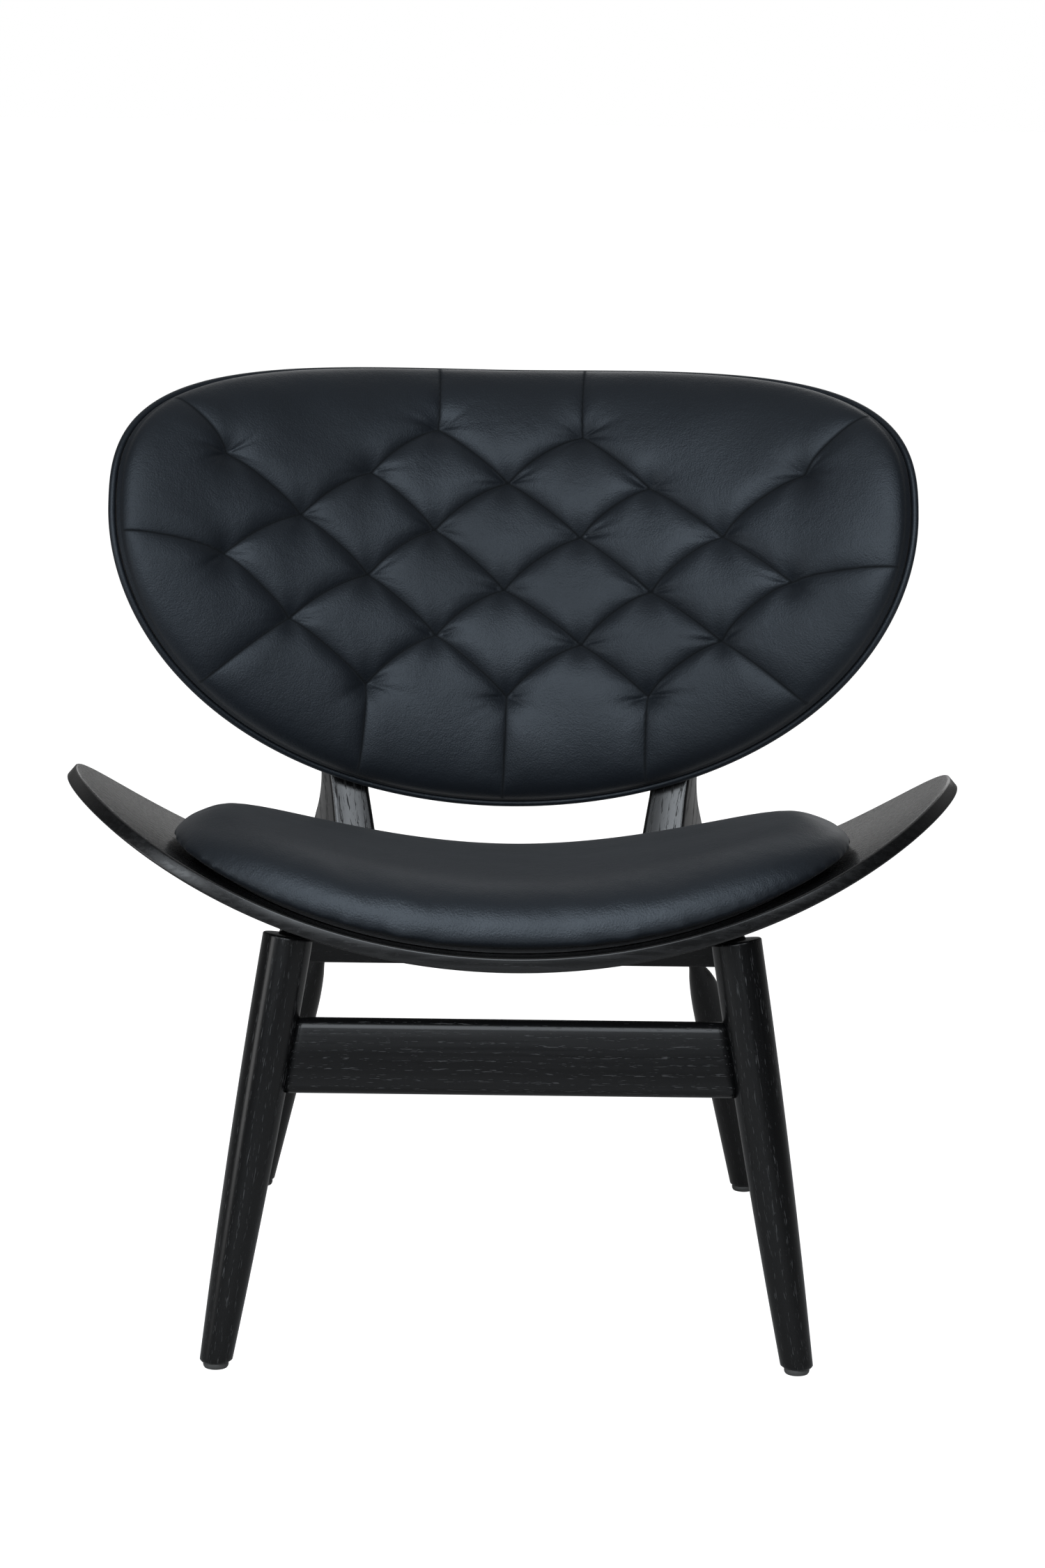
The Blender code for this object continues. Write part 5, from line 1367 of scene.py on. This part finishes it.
@dataclass
class Studio:
    """A pale floor, a white surround and soft lamps."""

    floor_size: float = 60.0
    floor_colour: Colour = (0.42, 0.42, 0.42)
    floor_glow: float = 0.94
    dark_side: float = 0.04
    ambient: float = 0.28
    mirrored: float = 0.34
    low_share: float = 0.35
    floor_mirrored: float = 0.08
    dark_from: float = -0.35
    light_from: float = 0.65
    horizon: Pair = (0.08, 0.40)
    camera_turn: Triple = (0.811, 11.017, 0.9)
    camera_place: Triple = (-0.0447, -3.9027, 1.2339)
    camera_lens: float = 96.2
    cool: Colour = (0.88, 0.94, 1.0)
    white: Colour = (1.0, 1.0, 1.0)

    def floor(self) -> None:
        """A wide pale floor that the camera sees as nearly white, with the chair's shadow kept."""
        half = self.floor_size / 2
        points = np.array([(-half, -half, 0), (half, -half, 0), (half, half, 0), (-half, half, 0)], float)
        graph = new_graph("floor_paint")
        seen = graph.node("ShaderNodeLightPath", {}).outputs
        glossy = graph.product(seen["Is Glossy Ray"], self.floor_mirrored)
        mask = graph.math("MAXIMUM", seen["Is Camera Ray"], graph.math(
            "MAXIMUM", glossy, seen["Is Transmission Ray"]))
        paint = graph.finish(Base_Color=self.floor_colour, Roughness=0.9, Specular_IOR_Level=0.1,
                             Emission_Color=self.white, Emission_Strength=graph.product(mask, self.floor_glow))
        piece = make_object("studio_floor", points, [[0, 1, 2, 3]], paint, solid=False)

    def surround(self) -> None:
        """A world that is white to the camera and in reflections, and softer as light."""
        world = bpy.data.worlds.new("studio_white")
        bpy.context.scene.world = world
        graph = Graph(world)
        seen = graph.node("ShaderNodeLightPath", {}).outputs
        seen_white = graph.math("MAXIMUM", seen["Is Camera Ray"], graph.math(
            "MAXIMUM", seen["Is Glossy Ray"], seen["Is Transmission Ray"]))
        way = graph.node("ShaderNodeTexCoord", {}).outputs["Generated"]
        parts = graph.node("ShaderNodeSeparateXYZ", {0: way}).outputs
        depth = graph.ranged(parts["Y"], self.dark_from, self.light_from, self.dark_side, self.mirrored)
        height = graph.node("ShaderNodeMapRange", {
            0: parts["Z"], 1: self.horizon[0], 2: self.horizon[1], 3: self.low_share, 4: 1.0}).outputs[0]
        shown = graph.node("ShaderNodeMix", {0: seen["Is Camera Ray"], 2: graph.product(depth, height), 3: 1.0},
                           data_type="FLOAT").outputs[0]
        strength = graph.node("ShaderNodeMix", {0: seen_white, 2: self.ambient, 3: shown}, data_type="FLOAT")
        shade = graph.node("ShaderNodeBackground", {0: self.white, 1: strength.outputs[0]})
        graph.node("ShaderNodeOutputWorld", {0: shade.outputs[0]})

    def lamp(self, name: str, at: Sequence[float], aim: Sequence[float], size: float, power: float,
             colour: Colour) -> None:
        """A square soft lamp at a place, turned to a point.

        Args:
            name: the lamp's name.
            at: where it stands.
            aim: what it faces.
            size: its side.
            power: its watts.
            colour: its colour.
        """
        data = bpy.data.lights.new(name, "AREA")
        data.size, data.energy, data.color = size, power, colour
        lamp = bpy.data.objects.new(name, data)
        lamp.location = at
        lamp.rotation_euler = (Vector(aim) - Vector(at)).to_track_quat("-Z", "Y").to_euler()
        bpy.context.scene.collection.objects.link(lamp)

    def camera(self) -> None:
        """The photograph's camera."""
        yaw, pitch, roll = (math.radians(angle) for angle in self.camera_turn)
        ahead = Vector((math.sin(yaw) * math.cos(pitch), math.cos(yaw) * math.cos(pitch), -math.sin(pitch)))
        right = Vector((math.cos(yaw), -math.sin(yaw), 0.0))
        up = right.cross(ahead)
        turned_right = math.cos(roll) * right + math.sin(roll) * up
        turned_up = -math.sin(roll) * right + math.cos(roll) * up
        data = bpy.data.cameras.new("photo_camera")
        data.sensor_fit, data.sensor_height, data.lens = "VERTICAL", 36.0, self.camera_lens
        camera = bpy.data.objects.new("photo_camera", data)
        place = Matrix((turned_right, turned_up, -ahead)).transposed().to_4x4()
        place.translation = Vector(self.camera_place)
        camera.matrix_world = place
        bpy.context.scene.collection.objects.link(camera)
        bpy.context.scene.camera = camera

    def build(self) -> None:
        """Sets the studio up."""
        self.floor()
        self.surround()
        self.camera()
        for name, at, aim_z, size, power, colour in (
                ("high_front_softbox", (-0.6, -3.5, 2.35), 0.45, 2.8, 128, self.cool),
                ("high_right_softbox", (1.65, -2.9, 2.0), 0.45, 1.0, 18, self.cool),
                ("front_left_softbox", (-2.6, -2.4, 1.45), 0.45, 0.7, 11, self.cool),
                ("low_left_softbox", (-3.0, -1.5, 0.6), 0.3, 0.9, 10, self.white),
                ("overhead_softbox", (0.0, 0.3, 3.0), 0.4, 2.6, 5, self.white),
                ("rear_softbox", (0.6, 2.8, 1.9), 0.5, 2.4, 20, self.white)):
            self.lamp(name, at, (0.0, 0.0, aim_z), size, power, colour)


def main() -> None:
    """Builds and dresses the whole chair in its studio."""
    logging.basicConfig(level=logging.INFO, format="%(name)s: %(message)s")
    bpy.context.scene.view_settings.view_transform = "Standard"
    Studio().build()
    seat = Seat(
        veneer=StainedAsh("seat_veneer_finish", pore=(0.010, 0.010, 0.011), pore_from=0.72, pore_roughness=0.06,
                          streak=0.06, bump=0.0, level=0.56).material(),
        leather=Leather("seat_leather_finish", level=0.52, roughness=0.45).material())
    seat.shell()
    seat.pad()
    back = TuftedBack(
        tufted_leather=Leather("tufted_leather_finish", shaded_creases=True).material(),
        cover_leather=Leather("cover_leather_finish", roughness=0.48).material(),
        welt_leather=Leather("piping_leather_finish", roughness=0.42, depth=0.00014).material())
    back.pad()
    back.cover()
    back.piping()
    body = Frame(
        finish=StainedAsh("frame_ash_finish", level=0.38, pore_from=0.69).material(),
        post_finish=StainedAsh("upright_ash_finish", pore=(0.002, 0.002, 0.0022), level=0.75, gather=0.17).material(),
        nylon=Plain("glide_nylon_finish", (0.060, 0.060, 0.058), (0.045, 0.045, 0.044), 0.5).material())
    body.legs()
    body.glides()
    body.stretcher()
    body.rear_rail()
    for side in Side:
        body.post(side)
    steel = Plain("brushed_steel_finish", (0.45, 0.45, 0.46), (0.32, 0.32, 0.33), 0.32, metallic=1.0).material()
    rubber = Plain("spacer_finish", (0.42, 0.43, 0.44), (0.34, 0.35, 0.36), 0.5).material()
    plain_ash = StainedAsh("side_rail_finish", level=0.38, pore_from=0.69, plain=True).material()
    beech = Plain("dowel_beech_finish", (0.55, 0.38, 0.22), (0.45, 0.30, 0.17), 0.6).material()
    # The hidden boards are near-black: partly a dark stain, and partly painted shade, so that the boards seen through
    # the gaps round the pads read as shadow.
    gap_shade_board = Plain("inner_board_finish", (0.016, 0.016, 0.017), (0.009, 0.009, 0.010), 0.7).material()
    dress_nodes({
        "side_rail_dowel": beech, "stretcher_dowel": beech, "side_rail": plain_ash, "seat_pad_screw": steel,
        "seat_pad_board": gap_shade_board, "back_shell": gap_shade_board, "shell_insert": steel, "shell_spacer": rubber,
        "shell_bolt": steel, "back_bolt": steel, "back_insert": steel, "foot_bolt": steel})


if __name__ == "__main__":
    main()
